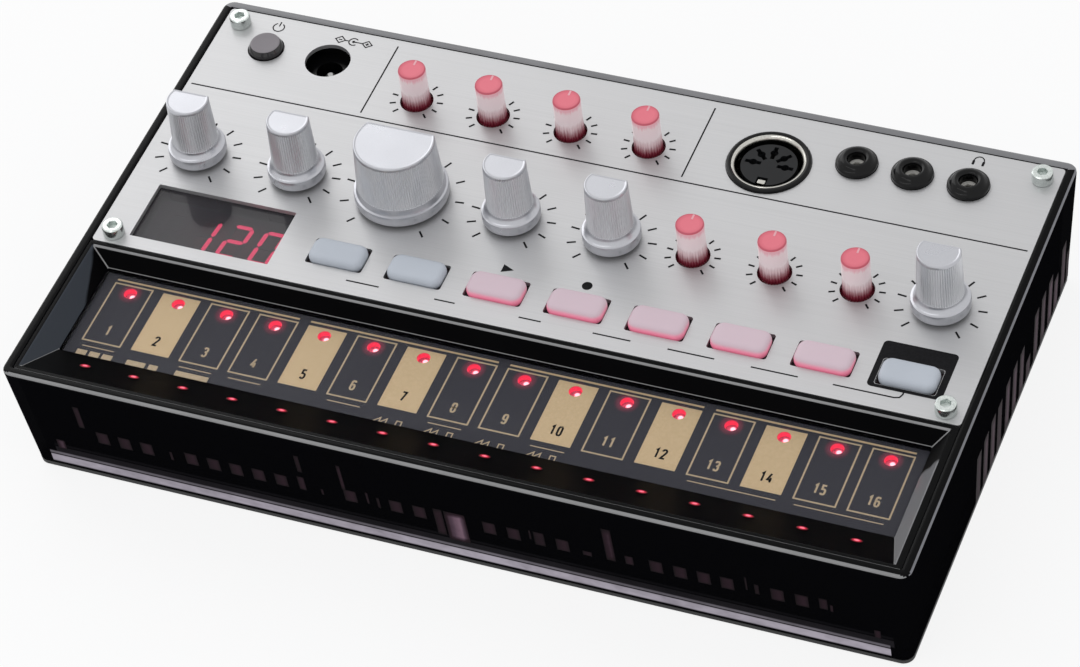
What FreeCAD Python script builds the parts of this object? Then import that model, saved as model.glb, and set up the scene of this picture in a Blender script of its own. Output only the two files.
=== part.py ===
"""Compact desktop bass synthesizer, in millimetres.

The origin is the middle of the footprint on the table, +X runs to the player's right, +Y to the back
and +Z up. The case is a tapered translucent shell with a sunken touch keyboard in front and an
aluminium panel with knobs, buttons, display and sockets behind it.
"""
import FreeCAD, Part
import math
import os

# Case
case_width = 193.0
case_depth = 115.0
rim_height = 30.5
side_draft = 1.5
end_draft = 2.9
case_wall = 2.0
case_corner = 2.4
rim_fillet = 0.5
rim_width = 2.1
rim_step = 0.2
lip_height = 1.1
seam_gap = 0.25

# Feet and bottom
foot_stand = 0.5
foot_size = 9.0
foot_depth = 0.5
foot_inset = 0.6
deck_thickness = 2.0
upstand_height = 2.5
upstand_wall = 1.4

# Control panel
panel_thickness = 1.0
panel_gap = 0.15
panel_corner = 1.0
keyboard_depth = 37.6
ledge_thickness = 1.8
ledge_width = 3.0
front_ledge_width = 1.4

# Keyboard well
well_side_land = 1.8
well_front_land = 1.1
well_back_land = 1.35
well_side_slope = 3.1
well_back_slope = 2.05
well_front_slope = 9.2
well_drop = 3.8
well_skin = 1.5
plate_thickness = 1.3
film_thickness = 0.2
plate_gap = 0.15
key_end_margin = 1.5
key_count = 16
key_light_inset = 4.45
key_light_size = 2.0
key_light_height = 1.3
key_light_window = 2.8
key_board_margin = 1.0

# Boards
board_thickness = 1.6
board_top = 20.6
board_side_margin = 5.5
board_overlap = 3.3
board_back_margin = 3.6
board_gap = 0.4

# Rows and columns of controls, from the edges of the panel inwards
right_margin = 13.55
button_row_margin = 9.75
row_spacing = 19.7
upper_row_margin = 16.55
button_margin = 7.4
octave_margin = 11.7
peak_spacing = 23.0
cutoff_offset = 6.3
rate_offset = 1.175
tempo_offset = 1.7
knob_column_shift = 0.3

# Silver knobs
knob_lift = 0.8
knob_height = 16.0
small_skirt_radius = 6.2
small_stem_radius = 4.75
small_top_radius = 4.35
small_flat = 2.1
large_skirt_radius = 10.05
large_stem_radius = 9.1
large_top_radius = 8.2
large_flat = 3.7
skirt_band_top = 3.3
stem_base = 4.6
knob_bevel = 0.4
rib_pitch = 1.4
rib_depth = 0.2

# Shafts and rotary controls
shaft_radius = 3.0
shaft_flat = 1.5
shaft_top = 12.7
shaft_hole_gap = 0.6
knob_bore_gap = 0.03
turning_gap = 0.05
pot_width = 11.0
pot_depth = 12.0
pot_height = 5.0
pot_neck_radius = 4.4
pot_neck_height = 2.7
pot_floor = 0.8

# Small translucent knobs
clear_height = 9.3
clear_top_radius = 2.95
clear_base_radius = 3.05
clear_rib_top = 3.3
clear_sink = 1.6
clear_collar = 1.0
clear_ribs = 14
clear_rib_depth = 0.22
clear_hole_gap = 0.55
clear_shaft_radius = 1.5
clear_bevel = 0.3
small_pot_width = 9.6
small_pot_depth = 11.0
small_pot_height = 4.8
glow_chip = (1.6, 0.8, 0.6)
glow_chip_offset = 2.9

# Rubber buttons and their switches
button_width = 12.0
button_depth = 6.4
button_rise = 1.6
button_gap = 0.3
button_corner = 2.0
button_hole_corner = 0.6
button_edge = 0.5
button_flange = 1.0
button_flange_height = 0.8
button_travel = 0.8
button_stem = 4.0
switch_size = 6.0
switch_height = 3.6
plunger_radius = 1.7
plunger_height = 0.8
plunger_gap = 0.1

# Power button
power_margin = 12.6
power_back = 10.1
power_radius = 3.7
power_rise = 1.7
power_hole_radius = 4.05
power_bevel = (0.5, 0.9)
power_flange_radius = 4.8
power_flange_height = 1.0
power_travel = 1.5
power_stem_radius = 1.5
power_stem_gap = 0.3
power_switch_size = 9.0
power_switch_height = 4.8
power_switch_floor = 0.6

# Display
display_margin = 7.4
display_lift = 1.35
display_width = 31.6
display_depth = 15.4
display_border = 0.6
window_thickness = 1.2
module_width = 30.4
module_depth = 14.2

# Direct-current socket
dc_margin = 27.2
dc_hole_radius = 5.0
dc_block = 11.0
dc_sink = 3.3
dc_bore_radius = 2.9
dc_bore_depth = 10.0
dc_floor = 2.5
dc_pin_radius = 1.0
dc_pin_sink = 0.8

# Round five-pin socket
din_margin = 59.65
din_back = 14.45
din_radius = 8.95
din_rise = 0.6
din_hole_gap = 0.1
din_depth = 14.9
din_floor = 1.5
din_shield_radius = 7.85
din_shield_wall = 0.6
din_core_radius = 5.95
din_core_sink = 1.1
din_pin_circle = 3.5
din_pin_count = 5
din_pin_hole = 0.85
din_pin_radius = 0.65
din_pin_sink = 2.5
din_tail = 1.5
din_slot_length = 1.75
din_slot_width = 0.9
din_slot_depth = 1.2
din_key_width = 2.3
din_key_depth = 2.1

# 3.5 mm sockets
jack_margin = 18.0
jack_pitch = 12.0
jack_back = 9.9
jack_block_width = 10.0
jack_block_depth = 10.8
jack_bush_radius = 4.4
jack_bush_rise = 0.9
jack_dome_radius = 3.0
jack_rise = 2.1
jack_hole_gap = 0.1
jack_bore_radius = 1.8
jack_bore_depth = 14.8
jack_floor = 0.8
jack_mouth = 0.5
block_headroom = 0.4

# Screws
panel_screw_inset = 4.0
panel_screw_back_inset = 4.2
panel_screw_front_inset = 3.1
panel_screw_radius = 1.25
panel_screw_hole = 1.45
panel_screw_head = 2.25
panel_screw_head_height = 2.5
panel_screw_length = 8.0
hex_flats = 2.0
hex_depth = 1.3
panel_boss_radius = 2.6
panel_boss_height = 7.6
pilot_gap = 0.05
case_screw_radius = 1.1
case_screw_length = 10.0
case_screw_head = 2.2
case_screw_head_height = 1.6
case_screw_clear = 0.4
counterbore_gap = 0.3
case_boss_radius = 2.6
case_boss_wall = 0.9
case_boss_joint = 8.0
case_boss_seat = 3.0
case_boss_web = 1.6
end_boss_inset = 8.5
front_boss_inset = 26.5
back_boss_dc_spacing = 11.7
back_boss_din_spacing = 15.25
side_boss_inset = 10.0
side_boss_back = 13.9

# Inner ribs of the side walls
wall_rib_count = 9
wall_rib_width = 1.0
wall_rib_depth = 1.0
wall_rib_pitch = 9.5

# Battery bay
cell_radius = 7.1
cell_length = 50.5
cell_nub_radius = 2.75
cell_nub_length = 1.3
cell_pitch = 15.2
cell_rows = 3
cells_in_row = 2
contact_thickness = 0.5
spring_length = 4.4
spring_radius = 4.5
bay_side_margin = 19.3
bay_y = 6.0
bay_clear = 0.2
bay_wall = 2.0
bay_roof = 1.2
cover_thickness = 1.8
cover_sink = 0.2
cover_gap = 0.3
cover_ledge = 1.0
hook_gap = 0.7
hook_count = 2
hook_width = 8.0
hook_spread = 60.0
hook_reach = 0.8
hook_thickness = 1.0
hook_lip = 0.7
hook_clear = 0.1
hook_room = 2.4
latch_width = 10.0
latch_reach = 1.6
latch_slot = 1.0
latch_slot_length = 9.0
grip_count = 3
grip_pitch = 2.0
grip_depth = 0.4

# Loudspeaker
speaker_side_margin = 14.5
speaker_y = 6.0
speaker_radius = 20.0
speaker_flange = 1.5
speaker_flange_width = 2.8
speaker_sheet = 0.8
speaker_cup_radius = 9.5
speaker_cup_height = 8.0
magnet_height = 4.5
cone_sheet = 0.5
cone_neck_radius = 5.0
cone_drop = 3.0
locating_wall = 1.4
locating_height = 3.0
slot_count = 9
slot_width = 1.8
slot_pitch = 3.6

# Posts under the main board
post_radius = 2.6
post_left_inset = 10.5
post_right_inset = 12.5
post_front_margin = 12.5
post_back_margin = 23.8

# Heights worked out from the sizes above
seam_height = foot_stand + lip_height
deck_top = foot_stand + deck_thickness
panel_top = rim_height - rim_step
panel_bottom = panel_top - panel_thickness
ledge_bottom = panel_bottom - ledge_thickness
plate_top = panel_top - well_drop
film_top = plate_top - plate_thickness
well_floor = film_top - film_thickness
well_underside = well_floor - well_skin
board_bottom = board_top - board_thickness
case_boss_top = ledge_bottom

# Outlines worked out from the sizes above
half_width = case_width / 2
half_depth = case_depth / 2
inner_rim_x = half_width - rim_width
inner_rim_y = half_depth - rim_width
panel_front = keyboard_depth - inner_rim_y
well_top = (-inner_rim_x + well_side_land, inner_rim_x - well_side_land,
            -inner_rim_y + well_front_land, panel_front - well_back_land)
well_bottom = (well_top[0] + well_side_slope, well_top[1] - well_side_slope,
               well_top[2] + well_front_slope, well_top[3] - well_back_slope)
bay_half_x = (cells_in_row * cell_length + 2 * contact_thickness + spring_length) / 2
bay_half_y = (cell_rows - 1) * cell_pitch / 2 + cell_radius + bay_clear
cover_half_x = bay_half_x + cover_ledge - cover_gap
cover_half_y = bay_half_y + cover_ledge - cover_gap
cover_bottom = foot_stand + cover_sink
cover_top = cover_bottom + cover_thickness
cell_middle = cover_top + cell_radius + bay_clear
bay_roof_bottom = cell_middle + cell_radius + bay_clear
bay_x = half_width - bay_side_margin - bay_wall - bay_half_x
speaker_x = -half_width + speaker_side_margin + speaker_radius
key_pitch = (well_bottom[1] - well_bottom[0] - 2 * key_end_margin) / key_count
key_light_y = well_bottom[3] - key_light_inset
board_front = well_bottom[3] - board_overlap
board_back = inner_rim_y - board_back_margin

# Places of the controls and sockets
display_x = -inner_rim_x + display_margin + display_width / 2
button_row = panel_front + button_row_margin
display_y = button_row + display_lift
knob_row = button_row + row_spacing
upper_row = inner_rim_y - upper_row_margin
buttons = ["function", "mute_3", "mute_2", "mute_1", "record", "play", "step", "memory"]
right_column = inner_rim_x - right_margin
last_button_x = display_x + (display_width + button_width) / 2 + button_margin
column_pitch = (right_column - last_button_x) / (len(buttons) - 1)
octave_x = -inner_rim_x + octave_margin
peak_x = octave_x + peak_spacing
cutoff_x = last_button_x + cutoff_offset
knob_column = right_column + knob_column_shift
depth_x = knob_column - 4 * column_pitch
rate_x = (cutoff_x + depth_x) / 2 + rate_offset
tempo_x = last_button_x - tempo_offset
power_x = -inner_rim_x + power_margin
power_y = inner_rim_y - power_back
dc_x = -inner_rim_x + dc_margin
dc_y = power_y
din_x = inner_rim_x - din_margin
din_y = inner_rim_y - din_back
jacks = ["sync_in", "sync_out", "phones"]
jack_first_x = inner_rim_x - jack_margin - (len(jacks) - 1) * jack_pitch
jack_y = inner_rim_y - jack_back
small_knobs = {"octave": octave_x, "peak": peak_x, "lfo_rate": rate_x,
               "lfo_depth": depth_x, "volume": knob_column}
clear_knobs = {"tempo": (tempo_x, upper_row), "attack": (tempo_x + column_pitch, upper_row),
               "decay": (tempo_x + 2 * column_pitch, upper_row),
               "sweep": (tempo_x + 3 * column_pitch, upper_row),
               "pitch_1": (knob_column - 3 * column_pitch, knob_row),
               "pitch_2": (knob_column - 2 * column_pitch, knob_row),
               "pitch_3": (knob_column - column_pitch, knob_row)}
panel_screw_places = [(side * (inner_rim_x - panel_screw_inset), y) for side in (-1, 1)
                      for y in (panel_front + panel_screw_front_inset,
                                inner_rim_y - panel_screw_back_inset)]
end_boss_y = half_depth - end_boss_inset
case_screw_places = [(-half_width + front_boss_inset, -end_boss_y), (0.0, -end_boss_y),
                     (half_width - front_boss_inset, -end_boss_y),
                     (dc_x + back_boss_dc_spacing, end_boss_y),
                     (din_x - back_boss_din_spacing, end_boss_y),
                     (half_width - side_boss_inset, inner_rim_y - side_boss_back)]
post_places = [(x, y) for x in (-half_width + post_left_inset, half_width - post_right_inset)
               for y in (board_front + post_front_margin, board_back - post_back_margin)]
cell_lines = [bay_y + (row - (cell_rows - 1) / 2) * cell_pitch for row in range(cell_rows)]


def vec(x, y, z):
    return FreeCAD.Vector(x, y, z)


def outline(box, z, corner):
    """Closed wire of a rectangle (x0, x1, y0, y1) with round corners, at height z."""
    x0, x1, y0, y1 = box
    if corner <= 0:
        return Part.makePolygon([vec(x0, y0, z), vec(x1, y0, z), vec(x1, y1, z), vec(x0, y1, z),
                                 vec(x0, y0, z)])
    edges = []
    centres = [(x1 - corner, y0 + corner, -90), (x1 - corner, y1 - corner, 0),
               (x0 + corner, y1 - corner, 90), (x0 + corner, y0 + corner, 180)]
    starts = []
    for cx, cy, turn in centres:
        points = [vec(cx + corner * math.cos(math.radians(turn + part)),
                      cy + corner * math.sin(math.radians(turn + part)), z) for part in (0, 45, 90)]
        starts.append(points)
    for number, points in enumerate(starts):
        edges.append(Part.Arc(*points).toShape())
        edges.append(Part.makeLine(points[2], starts[(number + 1) % 4][0]))
    return Part.Wire(edges)


def block(box, z0, z1, corner=0.0):
    """Upright prism over a rectangle with round corners."""
    return Part.Face(outline(box, z0, corner)).extrude(vec(0, 0, z1 - z0))


def centred(x, y, width, depth):
    return (x - width / 2, x + width / 2, y - depth / 2, y + depth / 2)


def grown(box, margin):
    return (box[0] - margin, box[1] + margin, box[2] - margin, box[3] + margin)


def tapered(low_box, z0, high_box, z1, corner=0.0):
    """Flat-sided solid between two rectangles, its four leaning edges rounded to one radius."""
    x0, x1, y0, y1 = low_box
    u0, u1, v0, v1 = high_box
    body = Part.makeWedge(x0, z0, -y1, -v1, u0, x1, z1, -y0, -v0, u1)
    body.rotate(vec(0, 0, 0), vec(1, 0, 0), 90)
    if corner > 0:
        leaning = [edge for edge in body.Edges if edge.BoundBox.ZLength > (z1 - z0) / 2]
        body = body.makeFillet(corner, leaning)
    return body


def drum(x, y, z0, z1, radius):
    return Part.makeCylinder(radius, z1 - z0, vec(x, y, z0))


def turned(points, x=0.0, y=0.0):
    """Solid of revolution about the upright axis at (x, y) from (radius, height) points."""
    corners = [vec(x + radius, y, height) for radius, height in points]
    face = Part.Face(Part.makePolygon(corners + corners[:1]))
    return face.revolve(vec(x, y, 0), vec(0, 0, 1), 360)


def joined(*shapes):
    return shapes[0].fuse(list(shapes[1:])).removeSplitter()


def case_box(z, inset=0.0):
    """Rectangle of the tapered case's outside at height z, less an inset."""
    share = (rim_height - z) / (rim_height - foot_stand)
    half_x = case_width / 2 - side_draft * share - inset
    half_y = case_depth / 2 - end_draft * share - inset
    return (-half_x, half_x, -half_y, half_y)


def case_block(z0, z1, inset=0.0):
    return tapered(case_box(z0, inset), z0, case_box(z1, inset), z1, max(case_corner - inset, 0.3))


def save(name, shape):
    shape.exportStep("parts/" + name + ".step")


def wall_ribs():
    """Upright stiffening ribs inside both side walls."""
    ribs = []
    inner = case_box(deck_top + upstand_height, case_wall)[1]
    for side in (-1, 1):
        for number in range(wall_rib_count):
            y = (number - (wall_rib_count - 1) / 2) * wall_rib_pitch
            reach = (inner - wall_rib_depth, inner + case_wall / 2)
            box = (min(side * reach[0], side * reach[1]), max(side * reach[0], side * reach[1]),
                   y - wall_rib_width / 2, y + wall_rib_width / 2)
            ribs.append(block(box, deck_top + upstand_height + case_wall, ledge_bottom))
    return ribs


def boss_web(x, y):
    """Thin wall that ties a screw boss to the nearest case wall."""
    half = case_boss_web / 2
    edge = case_box(case_boss_joint, case_wall / 2)
    if edge[1] - abs(x) < edge[3] - abs(y):
        far = math.copysign(edge[1], x)
        box = (min(x, far), max(x, far), y - half, y + half)
    else:
        far = math.copysign(edge[3], y)
        box = (x - half, x + half, min(y, far), max(y, far))
    return block(box, case_boss_joint, case_boss_top)


def key_light_x(number):
    return (number - (key_count - 1) / 2) * key_pitch


def top_case():
    """Tapered shell with rim, panel ledge, sloped keyboard well, bosses and ribs."""
    shell = case_block(seam_height, rim_height)
    crown = [edge for edge in shell.Edges if abs(edge.BoundBox.ZMin - rim_height) < 1e-3]
    shell = shell.makeFillet(rim_fillet, crown)
    shell = shell.cut(case_block(foot_stand, ledge_bottom, case_wall))
    land = (-inner_rim_x, inner_rim_x, -inner_rim_y, inner_rim_y)
    shell = shell.cut(block(land, panel_top, rim_height + 1, panel_corner))
    recess = (-inner_rim_x, inner_rim_x, panel_front, inner_rim_y)
    shell = shell.cut(block(recess, panel_bottom, rim_height + 1, panel_corner))
    opening = (recess[0] + ledge_width, recess[1] - ledge_width, recess[2] + front_ledge_width,
               recess[3] - ledge_width)
    shell = shell.cut(block(opening, ledge_bottom - 1, rim_height, panel_corner))
    tray_top = grown(well_top, -0.2)
    tray_bottom = grown(well_bottom, well_skin)
    parts = [tapered(tray_bottom, well_underside, tray_top, ledge_bottom + ledge_thickness / 2)]
    for x, y in panel_screw_places:
        parts.append(drum(x, y, panel_bottom - panel_boss_height, panel_bottom, panel_boss_radius))
    for x, y in case_screw_places:
        parts.append(drum(x, y, case_boss_joint, case_boss_top, case_boss_radius))
        parts.append(boss_web(x, y))
    shell = joined(shell, *parts, *wall_ribs())
    shell = shell.cut(tapered(well_bottom, plate_top, well_top, panel_top))
    cuts = [block(well_bottom, well_floor, plate_top)]
    for number in range(key_count):
        window = centred(key_light_x(number), key_light_y, key_light_window, key_light_window)
        cuts.append(block(window, well_underside - 1, well_floor + 0.1))
    for x, y in panel_screw_places:
        depth = panel_boss_height - 0.4
        cuts.append(drum(x, y, panel_bottom - depth, panel_bottom + 1, panel_screw_radius + pilot_gap))
    for x, y in case_screw_places:
        top = case_boss_joint + case_screw_length
        cuts.append(drum(x, y, case_boss_joint - 1, top, case_screw_radius + pilot_gap))
    return shell.cut(cuts)


def foot_boxes():
    """Rectangles of the four feet, tucked into the corners of the base."""
    x0, x1, y0, y1 = case_box(foot_stand, foot_inset)
    return [(x0, x0 + foot_size, y0, y0 + foot_size), (x1 - foot_size, x1, y0, y0 + foot_size),
            (x0, x0 + foot_size, y1 - foot_size, y1), (x1 - foot_size, x1, y1 - foot_size, y1)]


def feet():
    return Part.makeCompound([block(box, 0, foot_stand + foot_depth, case_corner - foot_inset)
                              for box in foot_boxes()])


def hook_places():
    return [bay_x + (number - (hook_count - 1) / 2) * hook_spread for number in range(hook_count)]


def battery_bay():
    """Walls and roof of the cell bay, open towards the cover."""
    inner = centred(bay_x, bay_y, 2 * bay_half_x, 2 * bay_half_y)
    shell = block(grown(inner, bay_wall), deck_top, bay_roof_bottom + bay_roof)
    return shell.cut(block(inner, deck_top - 1, bay_roof_bottom))


def bottom_case():
    """Deck with lip, upstand, battery bay, speaker slots, bosses and posts."""
    deck_box = case_box(seam_height, case_wall + seam_gap)
    upstand = block(deck_box, foot_stand, deck_top + upstand_height, case_corner - case_wall)
    upstand = upstand.cut(block(grown(deck_box, -upstand_wall), deck_top, rim_height))
    parts = [case_block(foot_stand, seam_height), battery_bay()]
    for x, y in case_screw_places:
        boss_radius = case_screw_head + counterbore_gap + case_boss_wall
        parts.append(drum(x, y, foot_stand, case_boss_joint, boss_radius))
    for x, y in post_places:
        parts.append(drum(x, y, foot_stand, board_bottom, post_radius))
    ring = drum(speaker_x, speaker_y, foot_stand, deck_top + locating_height,
                speaker_radius + cover_gap + locating_wall)
    ring = ring.cut(drum(speaker_x, speaker_y, deck_top, rim_height, speaker_radius + cover_gap))
    body = joined(upstand, *parts, ring)
    opening = (bay_x - cover_half_x - cover_gap, bay_x + cover_half_x + cover_gap,
               bay_y - cover_half_y - hook_gap, bay_y + cover_half_y + cover_gap)
    cuts = [block(opening, 0, cover_top)]
    lip_edge = bay_y - cover_half_y - hook_gap
    for x in hook_places():
        box = (x - hook_width / 2 - cover_gap, x + hook_width / 2 + cover_gap,
               lip_edge - hook_reach - cover_gap, bay_y - bay_half_y + cover_gap)
        cuts.append(block(box, foot_stand + hook_lip, cover_top + hook_room))
    latch_box = (bay_x - latch_width / 2 - cover_gap, bay_x + latch_width / 2 + cover_gap,
                 bay_y, bay_y + cover_half_y + latch_reach + cover_gap)
    cuts.append(block(latch_box, 0, cover_top))
    for number in range(slot_count):
        offset = (number - (slot_count - 1) / 2) * slot_pitch
        reach = speaker_radius - speaker_flange_width - 1.0
        half = math.sqrt(reach ** 2 - offset ** 2)
        box = (speaker_x - half, speaker_x + half, speaker_y + offset - slot_width / 2,
               speaker_y + offset + slot_width / 2)
        cuts.append(block(box, 0, deck_top + 0.1))
    for box in foot_boxes():
        cuts.append(block(box, 0, foot_stand + foot_depth, case_corner - foot_inset))
    for x, y in case_screw_places:
        cuts.append(drum(x, y, 0, case_boss_joint + 1, case_screw_radius + case_screw_clear))
        cuts.append(drum(x, y, 0, case_boss_joint - case_boss_seat, case_screw_head + counterbore_gap))
    return body.cut(cuts)


def battery_cover():
    """Cover with two hooks at the front edge and a finger latch at the back edge."""
    edge = (bay_x - cover_half_x, bay_x + cover_half_x, bay_y - cover_half_y, bay_y + cover_half_y)
    cover = block(edge, cover_bottom, cover_top)
    for side in (-1, 1):
        x = bay_x + side * (latch_width + latch_slot) / 2
        slot = centred(x, edge[3], latch_slot, 2 * latch_slot_length)
        cover = cover.cut(block(slot, cover_bottom - 1, cover_top + 1))
    tongues = [block((bay_x - latch_width / 2, bay_x + latch_width / 2, edge[3] - 1,
                      edge[3] + latch_reach), cover_bottom, cover_top)]
    low = foot_stand + hook_lip + hook_clear
    for x in hook_places():
        box = (x - hook_width / 2, x + hook_width / 2, edge[2] - hook_gap - hook_reach, edge[2] + 1)
        tongues.append(block(box, low, low + hook_thickness))
    cover = joined(cover, *tongues)
    grooves = []
    for number in range(grip_count):
        y = edge[3] - (number + 1) * grip_pitch
        grip = centred(bay_x, y, latch_width * 0.7, grip_pitch / 2)
        grooves.append(block(grip, cover_bottom - 1, cover_bottom + grip_depth))
    return cover.cut(grooves)


def battery_cells():
    """Six cells in three rows of two, each row turned the other way round."""
    cells = []
    for row, y in enumerate(cell_lines):
        forward = row % 2 == 0
        start = bay_x - bay_half_x + contact_thickness + (spring_length if forward else 0)
        for number in range(cells_in_row):
            x0 = start + number * cell_length
            can_x = x0 if forward else x0 + cell_nub_length
            nub_x = x0 + cell_length - cell_nub_length if forward else x0
            can = Part.makeCylinder(cell_radius, cell_length - cell_nub_length,
                                    vec(can_x, y, cell_middle), vec(1, 0, 0))
            nub = Part.makeCylinder(cell_nub_radius, cell_nub_length,
                                    vec(nub_x, y, cell_middle), vec(1, 0, 0))
            cells.append(can.fuse(nub).removeSplitter())
    return Part.makeCompound(cells)


def battery_contacts():
    """Sheet contact at each end of each row, and the springs as the cones that their coils fill."""
    pieces = []
    for row, y in enumerate(cell_lines):
        forward = row % 2 == 0
        for side in (-1, 1):
            x = bay_x + side * (bay_half_x - contact_thickness / 2)
            box = centred(x, y, contact_thickness, 2 * spring_radius)
            pieces.append(block(box, cell_middle - spring_radius, cell_middle + spring_radius))
        side = -1 if forward else 1
        root = vec(bay_x + side * (bay_half_x - contact_thickness), y, cell_middle)
        pieces.append(Part.makeCone(spring_radius, cell_nub_radius, spring_length, root,
                                    vec(-side, 0, 0)))
    return Part.makeCompound(pieces)


def speaker_basket():
    low = deck_top
    rim = speaker_radius - speaker_flange_width
    high = low + speaker_cup_height
    points = [(speaker_radius, low), (speaker_radius, low + speaker_flange),
              (rim + speaker_sheet, low + speaker_flange), (speaker_cup_radius + speaker_sheet, high),
              (cone_neck_radius, high), (cone_neck_radius, high - speaker_sheet),
              (speaker_cup_radius, high - speaker_sheet), (rim, low + speaker_flange), (rim, low)]
    return turned(points, speaker_x, speaker_y)


def speaker_cone():
    """Paper cone with its dust cap, glued inside the rim of the basket."""
    low = deck_top + speaker_flange / 2
    rim = speaker_radius - speaker_flange_width
    points = [(0, low + cone_drop - 1), (cone_neck_radius, low + cone_drop), (rim, low),
              (rim, low + cone_sheet), (cone_neck_radius, low + cone_drop + cone_sheet),
              (0, low + cone_drop + cone_sheet - 1)]
    return turned(points, speaker_x, speaker_y)


def speaker_magnet():
    low = deck_top + speaker_cup_height
    return drum(speaker_x, speaker_y, low, low + magnet_height, speaker_cup_radius)


def main_board():
    half = case_width / 2 - board_side_margin
    board = block((-half, half, board_front, board_back), board_bottom, board_top, 1.0)
    cuts = [drum(din_x, din_y, board_bottom - 1, board_top + 1, din_radius + board_gap),
            block(centred(dc_x, dc_y, dc_block + board_gap, dc_block + board_gap),
                  board_bottom - 1, board_top + 1)]
    for number in range(len(jacks)):
        box = centred(jack_first_x + number * jack_pitch, jack_y, jack_block_width + board_gap,
                      jack_block_depth + board_gap)
        cuts.append(block(box, board_bottom - 1, board_top + 1))
    for x, y in case_screw_places:
        cuts.append(drum(x, y, board_bottom - 1, board_top + 1, case_boss_radius + board_gap))
        if y > 0:
            cuts.append(boss_web(x, y).makeOffsetShape(board_gap / 2, 0.01, join=2))
    return board.cut(cuts)


def key_board():
    box = grown(well_bottom, key_board_margin)
    return block(box, well_underside - board_thickness, well_underside)


def key_film():
    return block(grown(well_bottom, -plate_gap), well_floor, film_top)


def touch_plate():
    """Clear plate over the printed film, flush with the foot of the slopes."""
    return block(grown(well_bottom, -plate_gap), film_top, plate_top)


def key_leds():
    lights = []
    for number in range(key_count):
        chip = centred(key_light_x(number), key_light_y, key_light_size, key_light_size)
        lights.append(block(chip, well_underside, well_underside + key_light_height))
    return Part.makeCompound(lights)


def button_x(number):
    return right_column - number * column_pitch


def control_panel():
    """Aluminium plate with every hole that the controls and sockets need."""
    edge = (-inner_rim_x + panel_gap, inner_rim_x - panel_gap, panel_front + panel_gap,
            inner_rim_y - panel_gap)
    low, high = panel_bottom - 1, panel_top + 1
    holes = [drum(cutoff_x, knob_row, low, high, shaft_radius + shaft_hole_gap),
             drum(power_x, power_y, low, high, power_hole_radius),
             drum(dc_x, dc_y, low, high, dc_hole_radius),
             drum(din_x, din_y, low, high, din_radius + din_hole_gap),
             block(centred(display_x, display_y, display_width, display_depth), low, high, 0.3)]
    for x in small_knobs.values():
        holes.append(drum(x, knob_row, low, high, shaft_radius + shaft_hole_gap))
    for x, y in clear_knobs.values():
        holes.append(drum(x, y, low, high, clear_base_radius + clear_hole_gap))
    for number in range(len(buttons)):
        box = centred(button_x(number), button_row, button_width, button_depth)
        holes.append(block(grown(box, button_gap), low, high, button_hole_corner))
    for number in range(len(jacks)):
        x = jack_first_x + number * jack_pitch
        holes.append(drum(x, jack_y, low, high, jack_bush_radius + jack_hole_gap))
    for x, y in panel_screw_places:
        holes.append(drum(x, y, low, high, panel_screw_hole))
    return block(edge, panel_bottom, panel_top, panel_corner - panel_gap).cut(holes)


def ribbed_stem(low_radius, high_radius, low, high, ribs, depth):
    """Straight-ribbed tapered stem between two star outlines of one shape, so each side is flat."""
    rows = []
    for radius, height in ((low_radius, low), (high_radius, high)):
        points = []
        for step in range(2 * ribs):
            reach = radius if step % 2 == 0 else radius * (1 - depth / high_radius)
            angle = math.pi * step / ribs
            points.append(vec(reach * math.cos(angle), reach * math.sin(angle), height))
        rows.append(points + points[:1])
    faces = [Part.Face(Part.makePolygon(row)) for row in rows]
    for step in range(2 * ribs):
        corners = [rows[0][step], rows[0][step + 1], rows[1][step + 1], rows[1][step]]
        faces.append(Part.Face(Part.makePolygon(corners + corners[:1])))
    return Part.Solid(Part.Shell(faces))


def flatted_bar(radius, flat, low, high):
    """Round bar with one flat towards the back."""
    bar = drum(0, 0, low, high, radius)
    return bar.cut(block((-2 * radius, 2 * radius, flat, 2 * radius), low - 1, high + 1))


def silver_knob(x, skirt_radius, stem_radius, top_radius, flat):
    """Turned aluminium knob: skirt, flare, ribbed stem and a flat cut in the back of the stem."""
    base = panel_top + knob_lift
    band = panel_top + skirt_band_top
    stem_low = panel_top + stem_base
    top = panel_top + knob_height
    flare = 0.45 * (skirt_radius - stem_radius)
    skirt = turned([(0, base), (skirt_radius - 0.3, base), (skirt_radius, base + 0.3),
                    (skirt_radius - 0.15, band), (skirt_radius - 0.4, band + 0.25),
                    (stem_radius + flare, (band + 0.25 + stem_low) / 2 + 0.1), (stem_radius, stem_low),
                    (0, stem_low)])
    ribs = int(2 * math.pi * top_radius / rib_pitch)
    neck = top - 2 * knob_bevel
    stem = ribbed_stem(stem_radius - 0.05, top_radius, stem_low, neck, ribs, rib_depth)
    crown = turned([(0, neck), (top_radius - rib_depth, neck), (top_radius, neck + 0.1),
                    (top_radius, top - knob_bevel), (top_radius - knob_bevel, top), (0, top)])
    knob = joined(skirt, stem, crown)
    reach = 2 * skirt_radius
    knob = knob.cut(block((-reach, reach, flat, reach), stem_low, top + 1))
    bore = flatted_bar(shaft_radius + knob_bore_gap, shaft_flat + knob_bore_gap, base - 1,
                       panel_top + shaft_top)
    knob = knob.cut(bore)
    knob.translate(vec(x, knob_row, 0))
    return knob


def knob_shaft(x):
    """Metal shaft of a rotary control, with a flat where the knob grips it."""
    low = board_top + pot_floor
    shoulder = panel_top + knob_lift / 2
    top = panel_top + shaft_top
    shaft = drum(0, 0, low, shoulder, shaft_radius).fuse(flatted_bar(shaft_radius, shaft_flat,
                                                                   shoulder, top))
    shaft = shaft.removeSplitter()
    shaft.translate(vec(x, knob_row, 0))
    return shaft


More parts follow.
